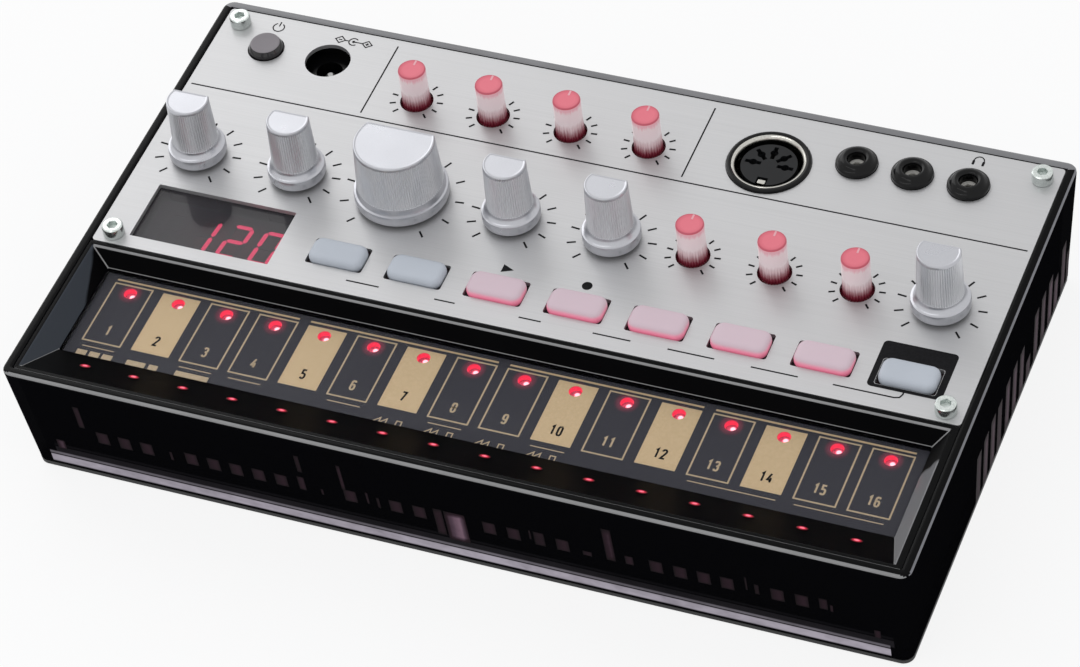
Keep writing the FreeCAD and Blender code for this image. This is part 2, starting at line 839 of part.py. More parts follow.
def clear_knob(x, y):
    """Translucent knob: plain top, ribbed foot, collar and thin shaft, in one moulding."""
    low = board_top + pot_floor
    collar_low = panel_top - clear_sink
    rib_low = collar_low + clear_collar
    rib_top = panel_top + clear_rib_top
    top = panel_top + clear_height
    foot = turned([(0, low), (clear_shaft_radius, low), (clear_shaft_radius, collar_low),
                   (clear_base_radius, collar_low), (clear_base_radius, rib_low), (0, rib_low)])
    ribs = ribbed_stem(clear_base_radius, clear_base_radius, rib_low, rib_top, clear_ribs,
                       clear_rib_depth)
    neck = clear_base_radius - clear_rib_depth
    cap = turned([(0, rib_top), (neck, rib_top), (neck, top - clear_bevel),
                  (clear_top_radius - clear_bevel, top), (0, top)])
    notch = block((-0.2, 0.2, clear_top_radius / 2, 2 * clear_top_radius), top - 0.3, top + 1)
    knob = joined(foot, ribs, cap).cut(notch)
    knob.translate(vec(x, y, 0))
    return knob


def rotary_pots():
    """Bodies of the six large and seven small rotary controls on the main board."""
    pots = []
    for x in [cutoff_x] + list(small_knobs.values()):
        body = block(centred(x, knob_row, pot_width, pot_depth), board_top, board_top + pot_height)
        neck_top = board_top + pot_height + pot_neck_height
        body = body.fuse(drum(x, knob_row, board_top, neck_top, pot_neck_radius))
        bore = drum(x, knob_row, board_top + pot_floor, neck_top + 1, shaft_radius + turning_gap)
        pots.append(body.cut(bore).removeSplitter())
    for x, y in clear_knobs.values():
        box = centred(x, y, small_pot_width, small_pot_depth)
        body = block(box, board_top, board_top + small_pot_height)
        bore = drum(x, y, board_top + pot_floor, board_top + small_pot_height + 1,
                    clear_shaft_radius + turning_gap)
        pots.append(body.cut(bore))
    return Part.makeCompound(pots)


def knob_leds():
    """Light chips beside the shafts of the translucent knobs."""
    width, depth, height = glow_chip
    low = board_top + small_pot_height
    chips = [block(centred(x, y - glow_chip_offset, width, depth), low, low + height)
             for x, y in clear_knobs.values()]
    return Part.makeCompound(chips)


def rubber_button(x):
    """Rubber cap with soft top edges, a flange under the panel and a stem over its switch."""
    top = panel_top + button_rise
    flange_low = panel_bottom - button_flange_height
    switch_top = board_top + switch_height + plunger_height
    cap_box = centred(x, button_row, button_width, button_depth)
    cap = block(cap_box, flange_low, top, button_corner)
    crown = [edge for edge in cap.Edges if edge.BoundBox.ZMin > top - 1e-3]
    cap = cap.makeChamfer(button_edge, crown)
    flange = block(grown(cap_box, button_flange), flange_low, panel_bottom)
    stem_low = switch_top + button_travel + plunger_gap
    stem = block(centred(x, button_row, button_stem, button_stem), stem_low, flange_low)
    return joined(cap, flange, stem)


def tact_switches():
    switches = []
    body_top = board_top + switch_height
    for number in range(len(buttons)):
        x = button_x(number)
        body = block(centred(x, button_row, switch_size, switch_size), board_top, body_top)
        plunger = drum(x, button_row, body_top, body_top + plunger_height, plunger_radius)
        switches.append(body.fuse(plunger).removeSplitter())
    return Part.makeCompound(switches)


def power_button():
    top = panel_top + power_rise
    flange_low = panel_bottom - power_flange_height
    stem_low = board_top + power_switch_floor + power_travel + plunger_gap
    return turned([(0, stem_low), (power_stem_radius, stem_low), (power_stem_radius, flange_low),
                   (power_flange_radius, flange_low), (power_flange_radius, panel_bottom),
                   (power_radius, panel_bottom), (power_radius, top - power_bevel[1]),
                   (power_radius - power_bevel[0], top), (0, top)], power_x, power_y)


def power_switch():
    top = board_top + power_switch_height
    body = block(centred(power_x, power_y, power_switch_size, power_switch_size), board_top, top, 0.5)
    return body.cut(drum(power_x, power_y, board_top + power_switch_floor, top + 1,
                         power_stem_radius + power_stem_gap))


def display_window():
    box = centred(display_x, display_y, display_width, display_depth)
    return block(grown(box, display_border), panel_bottom - window_thickness, panel_bottom)


def display_module():
    top = panel_bottom - window_thickness
    return block(centred(display_x, display_y, module_width, module_depth), board_top, top)


def dc_socket():
    top = panel_top - dc_sink
    low = top - dc_bore_depth - dc_floor
    body = block(centred(dc_x, dc_y, dc_block, dc_block), low, top, 0.5)
    return body.cut(drum(dc_x, dc_y, low + dc_floor, top + 1, dc_bore_radius))


def dc_pin():
    top = panel_top - dc_sink
    return turned([(0, top - dc_bore_depth), (dc_pin_radius, top - dc_bore_depth),
                   (dc_pin_radius, top - dc_pin_sink - 0.4), (dc_pin_radius - 0.4, top - dc_pin_sink),
                   (0, top - dc_pin_sink)], dc_x, dc_y)


def din_angles():
    return [math.pi * number / (din_pin_count - 1) for number in range(din_pin_count)]


def din_socket_body():
    """Black cup of the round socket, with a hole in its floor for each contact."""
    top = panel_top + din_rise
    low = top - din_depth
    floor = low + din_floor
    body = turned([(0, low), (din_radius, low), (din_radius, top - 0.3), (din_radius - 0.3, top),
                   (din_shield_radius, top), (din_shield_radius, floor), (0, floor)], din_x, din_y)
    cuts = [drum(din_x + din_pin_circle * math.cos(angle), din_y + din_pin_circle * math.sin(angle),
                 low - 1, floor + 1, din_pin_hole) for angle in din_angles()]
    return body.cut(cuts)


def din_insulator():
    """Core of the round socket: five keyholes round its centre and the notch of the key."""
    top = panel_top + din_rise - din_core_sink
    low = panel_top + din_rise - din_depth + din_floor
    core = drum(0, 0, low, top, din_core_radius)
    cuts = []
    for angle in din_angles():
        x, y = din_pin_circle * math.cos(angle), din_pin_circle * math.sin(angle)
        cuts.append(drum(x, y, low - 1, top + 1, din_pin_hole))
        slot = block((-din_slot_length, din_slot_length, -din_slot_width / 2, din_slot_width / 2),
                     top - din_slot_depth, top + 1)
        slot.rotate(vec(0, 0, 0), vec(0, 0, 1), math.degrees(angle))
        slot.translate(vec(x, y, 0))
        cuts.append(slot)
    key = (-din_key_width / 2, din_key_width / 2, -din_core_radius - 1, -din_core_radius + din_key_depth)
    cuts.append(block(key, low - 1, top + 1))
    core = core.cut(cuts)
    core.translate(vec(din_x, din_y, 0))
    return core


def din_socket_shield():
    """Metal ring that grips the plug, standing on the housing's floor."""
    top = panel_top + din_rise
    floor = top - din_depth + din_floor
    inner = din_shield_radius - din_shield_wall
    return turned([(inner, floor), (din_shield_radius, floor), (din_shield_radius, top - 0.15),
                   (inner + 0.2, top - 0.15), (inner, top - 0.5)], din_x, din_y)


def din_contacts():
    top = panel_top + din_rise - din_core_sink - din_pin_sink
    low = panel_top + din_rise - din_depth - din_tail
    pins = [drum(din_x + din_pin_circle * math.cos(angle), din_y + din_pin_circle * math.sin(angle),
                 low, top, din_pin_hole) for angle in din_angles()]
    return Part.makeCompound(pins)


def jack(number):
    """Round-shouldered 3.5 mm socket on its square block, bored for the plug."""
    x = jack_first_x + number * jack_pitch
    top = panel_top + jack_rise
    low = top - jack_bore_depth - jack_floor
    block_top = panel_bottom - block_headroom
    body = block(centred(x, jack_y, jack_block_width, jack_block_depth), low, block_top, 0.5)
    shoulder = panel_top + jack_bush_rise
    step = (jack_bush_radius - jack_dome_radius) / 3
    rise = top - shoulder
    bush = turned([(0, block_top), (jack_bush_radius, block_top), (jack_bush_radius, shoulder),
                   (jack_bush_radius - step / 2, shoulder + 0.1 * rise),
                   (jack_bush_radius - 1.2 * step, shoulder + 0.65 * rise),
                   (jack_bush_radius - 2 * step, shoulder + 0.9 * rise),
                   (jack_dome_radius, top), (0, top)], x, jack_y)
    body = body.fuse(bush).removeSplitter()
    mouth = Part.makeCone(jack_bore_radius, jack_bore_radius + jack_mouth, jack_mouth,
                          vec(x, jack_y, top - jack_mouth))
    return body.cut([drum(x, jack_y, top - jack_bore_depth, top + 1, jack_bore_radius), mouth])


def hexagon(across_flats, z0, z1):
    reach = across_flats / math.sqrt(3)
    points = [vec(reach * math.cos(math.pi * k / 3), reach * math.sin(math.pi * k / 3), z0)
              for k in range(7)]
    return Part.Face(Part.makePolygon(points)).extrude(vec(0, 0, z1 - z0))


def panel_screws():
    """Four socket-head cap screws that hold the panel."""
    top = panel_top + panel_screw_head_height
    screw = turned([(0, panel_top - panel_screw_length), (panel_screw_radius - 0.3, panel_top -
                    panel_screw_length), (panel_screw_radius, panel_top - panel_screw_length + 0.3),
                    (panel_screw_radius, panel_top), (panel_screw_head, panel_top),
                    (panel_screw_head, top - 0.25), (panel_screw_head - 0.25, top), (0, top)])
    screw = screw.cut(hexagon(hex_flats, top - hex_depth, top + 1))
    screws = []
    for x, y in panel_screw_places:
        copy = screw.copy()
        copy.translate(vec(x, y, 0))
        screws.append(copy)
    return Part.makeCompound(screws)


def case_screws():
    """Six screws from below, seated in the counterbores of the bottom case."""
    seat = case_boss_joint - case_boss_seat
    low = seat - case_screw_head_height
    tip = seat + case_screw_length
    screw = turned([(0, low), (case_screw_head, low), (case_screw_head, seat),
                    (case_screw_radius, seat), (case_screw_radius, tip - 1), (0, tip)])
    screw = screw.cut(hexagon(hex_flats, low - 1, low + hex_depth / 2))
    screws = []
    for x, y in case_screw_places:
        copy = screw.copy()
        copy.translate(vec(x, y, 0))
        screws.append(copy)
    return Part.makeCompound(screws)


def build():
    """Write one file for each piece."""
    os.makedirs("parts", exist_ok=True)
    singles = [top_case, bottom_case, control_panel, battery_cover, battery_cells, battery_contacts,
               speaker_basket, speaker_cone, speaker_magnet, main_board, key_board, key_film,
               touch_plate, key_leds, knob_leds, rotary_pots, tact_switches, power_button,
               power_switch, display_window, display_module, dc_socket, dc_pin, din_socket_body,
               din_insulator, din_socket_shield, din_contacts, panel_screws, case_screws, feet]
    for make in singles:
        save(make.__name__, make())
    for name, x in small_knobs.items():
        save(name + "_knob", silver_knob(x, small_skirt_radius, small_stem_radius,
                                         small_top_radius, small_flat))
        save(name + "_shaft", knob_shaft(x))
    save("cutoff_knob", silver_knob(cutoff_x, large_skirt_radius, large_stem_radius,
                                    large_top_radius, large_flat))
    save("cutoff_shaft", knob_shaft(cutoff_x))
    for name, (x, y) in clear_knobs.items():
        save(name + "_knob", clear_knob(x, y))
    for number, name in enumerate(buttons):
        save(name + "_button", rubber_button(button_x(number)))
    for number, name in enumerate(jacks):
        save(name + "_jack", jack(number))


build()
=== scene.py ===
"""Looks of a compact desktop bass synthesizer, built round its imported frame.

Lengths in the classes are millimetres in the frame's own axes: +X to the player's right, +Y to the
back, +Z up from the table. Each piece takes its place from the frame's boxes where a solid gives one,
and else from its class's fields. build_piece turns millimetres into metres.
"""

import logging
import math
from dataclasses import dataclass, replace
from enum import Enum, IntEnum
from functools import lru_cache
from typing import Any, Callable, ClassVar, Optional, Sequence

import bmesh
import bpy
import numpy as np
from bpy.types import Material, Node, NodeTree, Object
from mathutils import Euler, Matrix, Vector

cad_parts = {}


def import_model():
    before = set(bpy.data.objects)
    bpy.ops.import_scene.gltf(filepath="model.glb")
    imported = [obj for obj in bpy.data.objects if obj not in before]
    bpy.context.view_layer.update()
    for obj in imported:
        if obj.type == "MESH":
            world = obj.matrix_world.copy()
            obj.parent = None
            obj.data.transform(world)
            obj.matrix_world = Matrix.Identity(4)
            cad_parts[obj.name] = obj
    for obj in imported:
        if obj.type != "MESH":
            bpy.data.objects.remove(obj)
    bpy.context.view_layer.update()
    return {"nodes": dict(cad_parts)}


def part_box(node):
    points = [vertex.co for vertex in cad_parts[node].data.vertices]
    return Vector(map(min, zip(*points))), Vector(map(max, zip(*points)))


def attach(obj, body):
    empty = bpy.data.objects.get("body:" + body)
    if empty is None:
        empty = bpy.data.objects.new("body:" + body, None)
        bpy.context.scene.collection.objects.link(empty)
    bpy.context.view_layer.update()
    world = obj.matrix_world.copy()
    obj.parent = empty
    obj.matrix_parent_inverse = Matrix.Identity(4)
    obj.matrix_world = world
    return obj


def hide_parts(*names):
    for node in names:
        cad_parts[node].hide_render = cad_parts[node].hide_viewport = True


MM = 0.001
CHASSIS = "chassis"
LOG = logging.getLogger("bass_synthesizer")
Pair = tuple[float, float]
Box = tuple[float, float, float, float]
Rows = Sequence[Sequence[float]]
Output = tuple[Node, Any]


# Surfaces

@dataclass
class Surface:
    """Points with the faces that join them.

    Attributes:
        points: one row of x, y, z in millimetres for each point.
        quads: four point numbers for each four-sided face.
        tris: three point numbers for each triangle.
        glow: one value from 0 to 1 for each point, which a glowing finish reads.
    """

    points: np.ndarray
    quads: np.ndarray
    tris: np.ndarray
    glow: np.ndarray

    def moved(self, x: float = 0.0, y: float = 0.0, z: float = 0.0) -> "Surface":
        """Return a copy shifted by x, y and z."""
        return replace(self, points=self.points + np.array([x, y, z]))

    def turned(self, angle: float) -> "Surface":
        """Turn a copy about the upright axis.

        Args:
            angle: the turn in radians.

        Returns:
            The turned copy.
        """
        c, s = math.cos(angle), math.sin(angle)
        spin = np.array([[c, -s, 0.0], [s, c, 0.0], [0.0, 0.0, 1.0]])
        return replace(self, points=self.points @ spin.T)

    def leaned(self, share: float) -> "Surface":
        """Slant a copy to the right.

        Args:
            share: how far each point shifts for each millimetre of its y.

        Returns:
            The slanted copy.
        """
        points = self.points.copy()
        points[:, 0] += share * points[:, 1]
        return replace(self, points=points)


def gathered(surfaces: Sequence[Surface]) -> Surface:
    """Join surfaces into one, each one's point numbers raised past those before it.

    Args:
        surfaces: the surfaces to join.

    Returns:
        One surface that holds them all.
    """
    starts = np.cumsum([0] + [len(surface.points) for surface in surfaces])
    return Surface(np.concatenate([surface.points for surface in surfaces]),
        np.concatenate([surface.quads + start for surface, start in zip(surfaces, starts)]),
        np.concatenate([surface.tris + start for surface, start in zip(surfaces, starts)]),
        np.concatenate([surface.glow for surface in surfaces]))


def loft(rings: np.ndarray, capped: bool = True, looped: bool = False,
         glow: Optional[np.ndarray] = None) -> Surface:
    """Skin a stack of closed rings.

    Face (i, j) joins point j of ring i to its neighbour on the ring and to the same two of ring i + 1.
    A capped end is a fan of triangles to the mean of its ring.

    Args:
        rings: points by ring and by place round the ring.
        capped: whether both ends are closed, where the stack isn't looped.
        looped: whether the last ring joins the first.
        glow: one value for each ring.

    Returns:
        The skin.
    """
    count, around = rings.shape[:2]
    index = np.arange(count * around).reshape(count, around)
    lower = index if looped else index[:-1]
    upper = np.roll(index, -1, axis=0) if looped else index[1:]
    quads = np.stack([lower, np.roll(lower, -1, 1), np.roll(upper, -1, 1), upper], -1).reshape(-1, 4)
    points = rings.reshape(-1, 3)
    values = np.repeat(np.zeros(count) if glow is None else np.asarray(glow, float), around)
    tris = np.empty((0, 3), int)
    if capped and not looped:
        first, last, hub = index[0], index[-1], count * around
        tris = np.concatenate([np.stack([np.roll(first, -1), first, np.full(around, hub)], -1),
            np.stack([last, np.roll(last, -1), np.full(around, hub + 1)], -1)])
        points = np.concatenate([points, rings[[0, -1]].mean(axis=1)])
        values = np.concatenate([values, values[[0, -1]]])
    return Surface(points, quads, tris, values)


def full_rows(profile: Rows) -> np.ndarray:
    """Return the rows of a profile as a table, with 0 for each of the five values that a row leaves out."""
    return np.array([list(row) + [0.0] * (5 - len(row)) for row in profile], float)


def turned_rings(profile: Rows, around: int, ribs: int = 0) -> np.ndarray:
    """Turn the rows of a profile into rings about the upright axis.

    A row's ring is x = r cos a, y = r sin a, where r is the row's radius less its rib depth times
    0.5 - 0.5 cos(ribs a). Where a row has a flat, y is never more than its distance from the axis.

    Args:
        profile: rows as lathe takes them.
        around: points round each ring.
        ribs: ribs round the ribbed rows.

    Returns:
        Points by ring and by place round the ring.
    """
    rows, angle = full_rows(profile), np.linspace(0, 2 * np.pi, around, endpoint=False)
    wave = 0.5 - 0.5 * np.cos(ribs * angle)
    radius = rows[:, :1] - rows[:, 2:3] * wave
    x, y = radius * np.cos(angle), radius * np.sin(angle)
    y = np.where(rows[:, 3:4] > 0, np.minimum(y, rows[:, 3:4]), y)
    return np.stack([x, y, np.broadcast_to(rows[:, 1:2], x.shape)], -1)


def lathe(profile: Rows, around: int = 64, ribs: int = 0, looped: bool = False) -> Surface:
    """Turn a profile about the upright axis and skin it.

    Args:
        profile: rows of radius, height, rib depth, distance of the flat and glow; the last three may be
            left out.
        around: points round each ring.
        ribs: ribs round the ribbed rows.
        looped: whether the last row joins the first, where the ends are closed otherwise.

    Returns:
        The turned surface.
    """
    return loft(turned_rings(profile, around, ribs), looped=looped, glow=full_rows(profile)[:, 4])


def rounded_rings(boxes: Sequence[Box], heights: Sequence[float], corners: Sequence[float],
                  steps: int = 7) -> np.ndarray:
    """Rings of rectangles with round corners.

    Each corner is a quarter circle of equal steps about a centre one corner radius inside both sides.

    Args:
        boxes: x0, x1, y0, y1 of each ring.
        heights: z of each ring.
        corners: corner radius of each ring.
        steps: points on each corner.

    Returns:
        Points by ring and by place round the ring.
    """
    box, corner = np.array(boxes, float), np.array(corners, float)[:, None, None]
    angle = np.arange(4)[:, None] * np.pi / 2 + np.linspace(0, np.pi / 2, steps)
    high_x, high_y = np.array([1, 0, 0, 1]), np.array([1, 1, 0, 0])
    hub_x = np.where(high_x, box[:, 1:2] - corner[:, 0], box[:, 0:1] + corner[:, 0])[:, :, None]
    hub_y = np.where(high_y, box[:, 3:4] - corner[:, 0], box[:, 2:3] + corner[:, 0])[:, :, None]
    x = (hub_x + corner * np.cos(angle)).reshape(len(box), -1)
    y = (hub_y + corner * np.sin(angle)).reshape(len(box), -1)
    z = np.broadcast_to(np.array(heights, float)[:, None], x.shape)
    return np.stack([x, y, z], -1)


def centred(x: float, y: float, width: float, depth: float) -> Box:
    """Return the box of a width and depth about a centre."""
    return (x - width / 2, x + width / 2, y - depth / 2, y + depth / 2)


def grown(box: Box, margin: float) -> Box:
    """Return the box with a margin added on every side."""
    return (box[0] - margin, box[1] + margin, box[2] - margin, box[3] + margin)


def soft_block(box: Box, low: float, high: float, corner: float, edge: float, crown: float = 0.0) -> Surface:
    """Block with round corners and rounded top and bottom edges.

    Each edge is a quarter circle: inset = edge (1 - cos t), drop = edge (1 - sin t). The top rises
    inwards by the crown in two more rings.

    Args:
        box: outline at its widest.
        low: height of the bottom.
        high: height of the top edge.
        corner: corner radius of the outline.
        edge: radius of the edges.
        crown: how far the middle of the top stands over its edge.

    Returns:
        The block, with glow 1 at its top edge and falling to 0 in the middle of the top.
    """
    turn = np.linspace(0, np.pi / 2, 5)
    inset, drop = edge * (1 - np.cos(turn)), edge * (1 - np.sin(turn))
    insets = list(inset[::-1]) + list(inset) + [edge + 0.25 * corner, edge + 0.8 * corner]
    heights = list(low + drop[::-1]) + list(high - drop) + [high + 0.5 * crown, high + crown]
    glow = [1.0] * 5 + [1.0, 1.0, 0.95, 0.8, 0.6, 0.25, 0.0]
    boxes = [grown(box, -value) for value in insets]
    corners = [max(corner - value, 0.05) for value in insets]
    return loft(rounded_rings(boxes, heights, corners), glow=np.array(glow))


def ribbon(path: Rows, width: float, low: float, high: float,
           closed: bool = False) -> Surface:
    """Flat strip with mitred joints along a path.

    At each point the strip's sides lie half a width to either side, along the mean of the two
    neighbouring normals divided by the cosine of half the turn.

    Args:
        path: x, y points.
        width: width of the strip.
        low: height of the bottom.
        high: height of the top.
        closed: whether the path's end joins its start.

    Returns:
        The strip as a closed solid.
    """
    line = np.array(path, float)
    ahead = np.roll(line, -1, 0) - line
    ahead /= np.maximum(np.linalg.norm(ahead, axis=1, keepdims=True), 1e-9)
    behind = np.roll(ahead, 1, 0)
    if not closed:
        ahead[-1], behind[0] = ahead[-2], ahead[0]
    normal = np.stack([-(ahead + behind)[:, 1], (ahead + behind)[:, 0]], -1)
    normal /= np.linalg.norm(normal, axis=1, keepdims=True)
    share = np.sum(normal * np.stack([-ahead[:, 1], ahead[:, 0]], -1), axis=1, keepdims=True)
    side = normal * width / 2 / np.maximum(share, 0.4)
    left, right = line + side, line - side
    corner = [np.column_stack([edge, np.full(len(line), z)])
              for edge, z in ((left, low), (left, high), (right, high), (right, low))]
    return loft(np.stack(corner, axis=1), looped=closed)


def slab(outline: Rows, low: float, high: float) -> Surface:
    """Raise a prism over an outline.

    Args:
        outline: x, y points, all of which their mean point sees.
        low: height of the bottom.
        high: height of the top.

    Returns:
        The prism.
    """
    line = np.array(outline, float)
    rings = [np.column_stack([line, np.full(len(line), z)]) for z in (low, high)]
    return loft(np.stack(rings))


def disc(x: float, y: float, radius: float, low: float, high: float, around: int = 32) -> Surface:
    """Flat round slab about x, y."""
    return lathe([(radius, low), (radius, high)], around).moved(x, y)


def pierced_plate(box: Box, hole: Pair, radius: float, low: float, high: float) -> Surface:
    """Rectangular plate with a round hole.

    Rays from the hole's centre meet the rectangle at the nearer of its two facing sides, and the rays
    to the four corners are among them.

    Args:
        box: outline of the plate.
        hole: centre of the hole.
        radius: radius of the hole.
        low: height of the bottom.
        high: height of the top.

    Returns:
        The plate as a closed solid.
    """
    x0, x1, y0, y1 = box[0] - hole[0], box[1] - hole[0], box[2] - hole[1], box[3] - hole[1]
    corners = np.arctan2([y0, y0, y1, y1], [x0, x1, x0, x1]) % (2 * np.pi)
    angle = np.unique(np.concatenate([np.linspace(0, 2 * np.pi, 40, endpoint=False), corners]))
    c, s = np.cos(angle), np.sin(angle)
    across = np.where(c < 0, -x0, x1) / np.maximum(np.abs(c), 1e-9)
    reach = np.minimum(across, np.where(s < 0, -y0, y1) / np.maximum(np.abs(s), 1e-9))
    outer = np.stack([reach * c, reach * s], -1) + hole
    inner = np.stack([radius * c, radius * s], -1) + hole
    rings = [np.column_stack([edge, np.full(len(angle), z)])
             for edge, z in ((outer, low), (outer, high), (inner, high), (inner, low))]
    return loft(np.stack(rings), looped=True)


# Strokes of each plain digit as paths of x, y points, in a box one unit wide and two tall.
DIGITS: dict[str, tuple[tuple[Pair, ...], ...]] = {
    "0": (((0.25, 0), (0.75, 0), (1, 0.3), (1, 1.7), (0.75, 2), (0.25, 2), (0, 1.7), (0, 0.3),
           (0.25, 0)),),
    "1": (((0.15, 1.65), (0.6, 2), (0.6, 0)),),
    "2": (((0, 1.6), (0, 1.75), (0.25, 2), (0.75, 2), (1, 1.75), (1, 1.4), (0, 0), (1.05, 0)),),
    "3": (((0, 1.7), (0.25, 2), (0.75, 2), (1, 1.75), (1, 1.3), (0.75, 1.05), (1, 0.8), (1, 0.25), (0.75, 0),
           (0.25, 0), (0, 0.3)), ((0.35, 1.05), (0.75, 1.05))),
    "4": (((0.62, 2), (0, 0.55), (1.1, 0.55)), ((0.78, 1.1), (0.78, 0))),
    "5": (((1, 2), (0.1, 2), (0.1, 1.15), (0.7, 1.15), (1, 0.9), (1, 0.25), (0.75, 0), (0.25, 0),
           (0, 0.25)),),
    "6": (((1, 1.75), (0.75, 2), (0.25, 2), (0, 1.75), (0, 0.25), (0.25, 0), (0.75, 0), (1, 0.25), (1, 0.9),
           (0.75, 1.15), (0, 1.15)),),
    "7": (((0, 2), (1, 2), (0.4, 0)),),
    "8": (((0.25, 0), (0.75, 0), (1, 0.25), (1, 0.8), (0.75, 1.05), (0.25, 1.05), (0, 0.8), (0, 0.25),
           (0.25, 0)),
          ((0.25, 1.05), (0.75, 1.05), (1, 1.3), (1, 1.75), (0.75, 2), (0.25, 2), (0, 1.75), (0, 1.3),
           (0.25, 1.05))),
    "9": (((0, 0.25), (0.25, 0), (0.75, 0), (1, 0.25), (1, 1.75), (0.75, 2), (0.25, 2), (0, 1.75), (0, 1.1),
           (0.25, 0.85), (1, 0.85)),)}


def numeral(text: str, size: Pair, pitch: float, stroke: float, low: float,
            high: float) -> Surface:
    """Plain number in strokes of one width, its middle at the origin.

    Args:
        text: the digits.
        size: size of one unit of the digits' paths across and up; a digit is one unit wide and two tall.
        pitch: distance from one digit to the next.
        stroke: width of the strokes.
        low: height of the print's underside.
        high: height of its top.

    Returns:
        The number as thin solids.
    """
    strokes = []
    for place, digit in enumerate(text):
        middle_x = (place - (len(text) - 1) / 2) * pitch
        for path in DIGITS[digit]:
            closed = path[0] == path[-1]
            line = (np.array(path[:-1] if closed else path) - [0.5, 1.0]) * size + [middle_x, 0.0]
            strokes.append(ribbon(line, stroke, low, high, closed))
    return gathered(strokes)


# Pieces

def build_piece(name: str, surface: Surface, materials: Sequence[Material], body: str = CHASSIS,
                replaced: Sequence[str] = (), crease: float = 32.0,
                choose: Optional[Callable[[np.ndarray, np.ndarray], np.ndarray]] = None) -> Object:
    """Put a surface into a mesh in metres, and let it ride on a body.

    Args:
        name: name of the piece.
        surface: its shape in millimetres.
        materials: its materials, the first for every face that choose doesn't send elsewhere.
        body: the body that it moves with.
        replaced: solid nodes that it stands for.
        crease: angle in degrees past which an edge stays sharp.
        choose: gives a material number for each face from the faces' centres and normals.

    Returns:
        The finished object.
    """
    mesh = bpy.data.meshes.new(name)
    mesh.vertices.add(len(surface.points))
    mesh.vertices.foreach_set("co", (surface.points * MM).astype(np.float32).ravel())
    loops = np.concatenate([surface.quads.ravel(), surface.tris.ravel()]).astype(np.int32)
    sizes = np.concatenate([np.full(len(surface.quads), 4), np.full(len(surface.tris), 3)])
    mesh.loops.add(len(loops))
    mesh.loops.foreach_set("vertex_index", loops)
    mesh.polygons.add(len(sizes))
    mesh.polygons.foreach_set("loop_start", (np.cumsum(sizes) - sizes).astype(np.int32))
    mesh.update(calc_edges=True)
    if np.any(surface.glow):
        glow = mesh.attributes.new("glow", "FLOAT", "POINT")
        glow.data.foreach_set("value", surface.glow.astype(np.float32))
    mesh.validate()
    work = bmesh.new()
    work.from_mesh(mesh)
    bmesh.ops.remove_doubles(work, verts=work.verts, dist=1e-7)
    bmesh.ops.dissolve_degenerate(work, edges=work.edges, dist=1e-8)
    bmesh.ops.recalc_face_normals(work, faces=work.faces)
    work.to_mesh(mesh)
    work.free()
    mesh.shade_smooth()
    mesh.set_sharp_from_angle(angle=math.radians(crease))
    for material in materials:
        mesh.materials.append(material)
    if choose is not None:
        centres, normals = (np.empty(len(mesh.polygons) * 3) for _ in range(2))
        mesh.polygons.foreach_get("center", centres)
        mesh.polygons.foreach_get("normal", normals)
        index = choose(centres.reshape(-1, 3) / MM, normals.reshape(-1, 3))
        mesh.polygons.foreach_set("material_index", index.astype(np.int32))
    piece = bpy.data.objects.new(name, mesh)
    bpy.context.scene.collection.objects.link(piece)
    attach(piece, body)
    if replaced:
        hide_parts(*replaced)
    LOG.info("%s: %d faces on %s", name, len(mesh.polygons), body)
    return piece


def dress(frame: dict[str, Any], nodes: Sequence[str], material: Material) -> None:
    """Give carried-over nodes of the frame a finish.

    Args:
        nodes: names of the nodes.
        material: the finish.
    """
    for name in nodes:
        mesh = frame["nodes"][name].data
        mesh.materials.clear()
        mesh.materials.append(material)
    LOG.info("%s on %s", material.name, ", ".join(nodes))


@lru_cache(maxsize=None)
def extent(node: str) -> tuple[np.ndarray, np.ndarray]:
    """Return a node's lowest and highest corners in millimetres."""
    low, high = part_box(node)
    return np.array(low) / MM, np.array(high) / MM


def footprint(node: str) -> Box:
    """Return a node's x0, x1, y0, y1 in millimetres."""
    low, high = extent(node)
    return (low[0], high[0], low[1], high[1])


def middle(node: str) -> Pair:
    """Return the x and y of a node's middle in millimetres."""
    low, high = extent(node)
    return (low[0] + high[0]) / 2, (low[1] + high[1]) / 2


# Finishes

def linear(code: str) -> tuple[float, float, float, float]:
    """Turn an sRGB hex colour into a linear one.

    A channel c becomes c / 12.92 up to 0.04045, and ((c + 0.055) / 1.055) to the power 2.4 above it.

    Args:
        code: the colour as a hash sign and six hex digits.

    Returns:
        Its linear red, green and blue, and an alpha of 1.
    """
    channels = [int(code[start:start + 2], 16) / 255 for start in (1, 3, 5)]
    values = [c / 12.92 if c <= 0.04045 else ((c + 0.055) / 1.055) ** 2.4 for c in channels]
    return (values[0], values[1], values[2], 1.0)


def join(tree: NodeTree, node: Node, links: dict[Any, Output]) -> None:
    """Feed each named or numbered socket of a node from the output of another node."""
    for key, (source, output) in links.items():
        tree.links.new(source.outputs[output], node.inputs[key])


def add_node(tree: NodeTree, kind: str, values: Optional[dict[Any, Any]] = None,
             links: Optional[dict[Any, Output]] = None,
             stops: Optional[Sequence[tuple[float, str]]] = None, **settings: Any) -> Node:
    """Add a node with its settings, socket values, ramp stops and links.

    Args:
        tree: the node tree.
        kind: the node's type name, without the ShaderNode before it.
        values: socket values by socket name or number.
        links: the node and its output that feed each socket.
        stops: places and hex colours of a ramp.
        **settings: properties of the node.

    Returns:
        The node.
    """
    node = tree.nodes.new("ShaderNode" + kind)
    for key, value in settings.items():
        setattr(node, key, value)
    for key, value in (values or {}).items():
        node.inputs[key].default_value = value
    join(tree, node, links or {})
    if stops:
        elements = node.color_ramp.elements
        for number, (place, code) in enumerate(stops):
            element = elements[number] if number < 2 else elements.new(place)
            element.position, element.color = place, linear(code)
    return node


def per_mm(size: float) -> float:
    """Return the texture scale whose features are about a size in millimetres across."""
    return 1.0 / (size * MM)


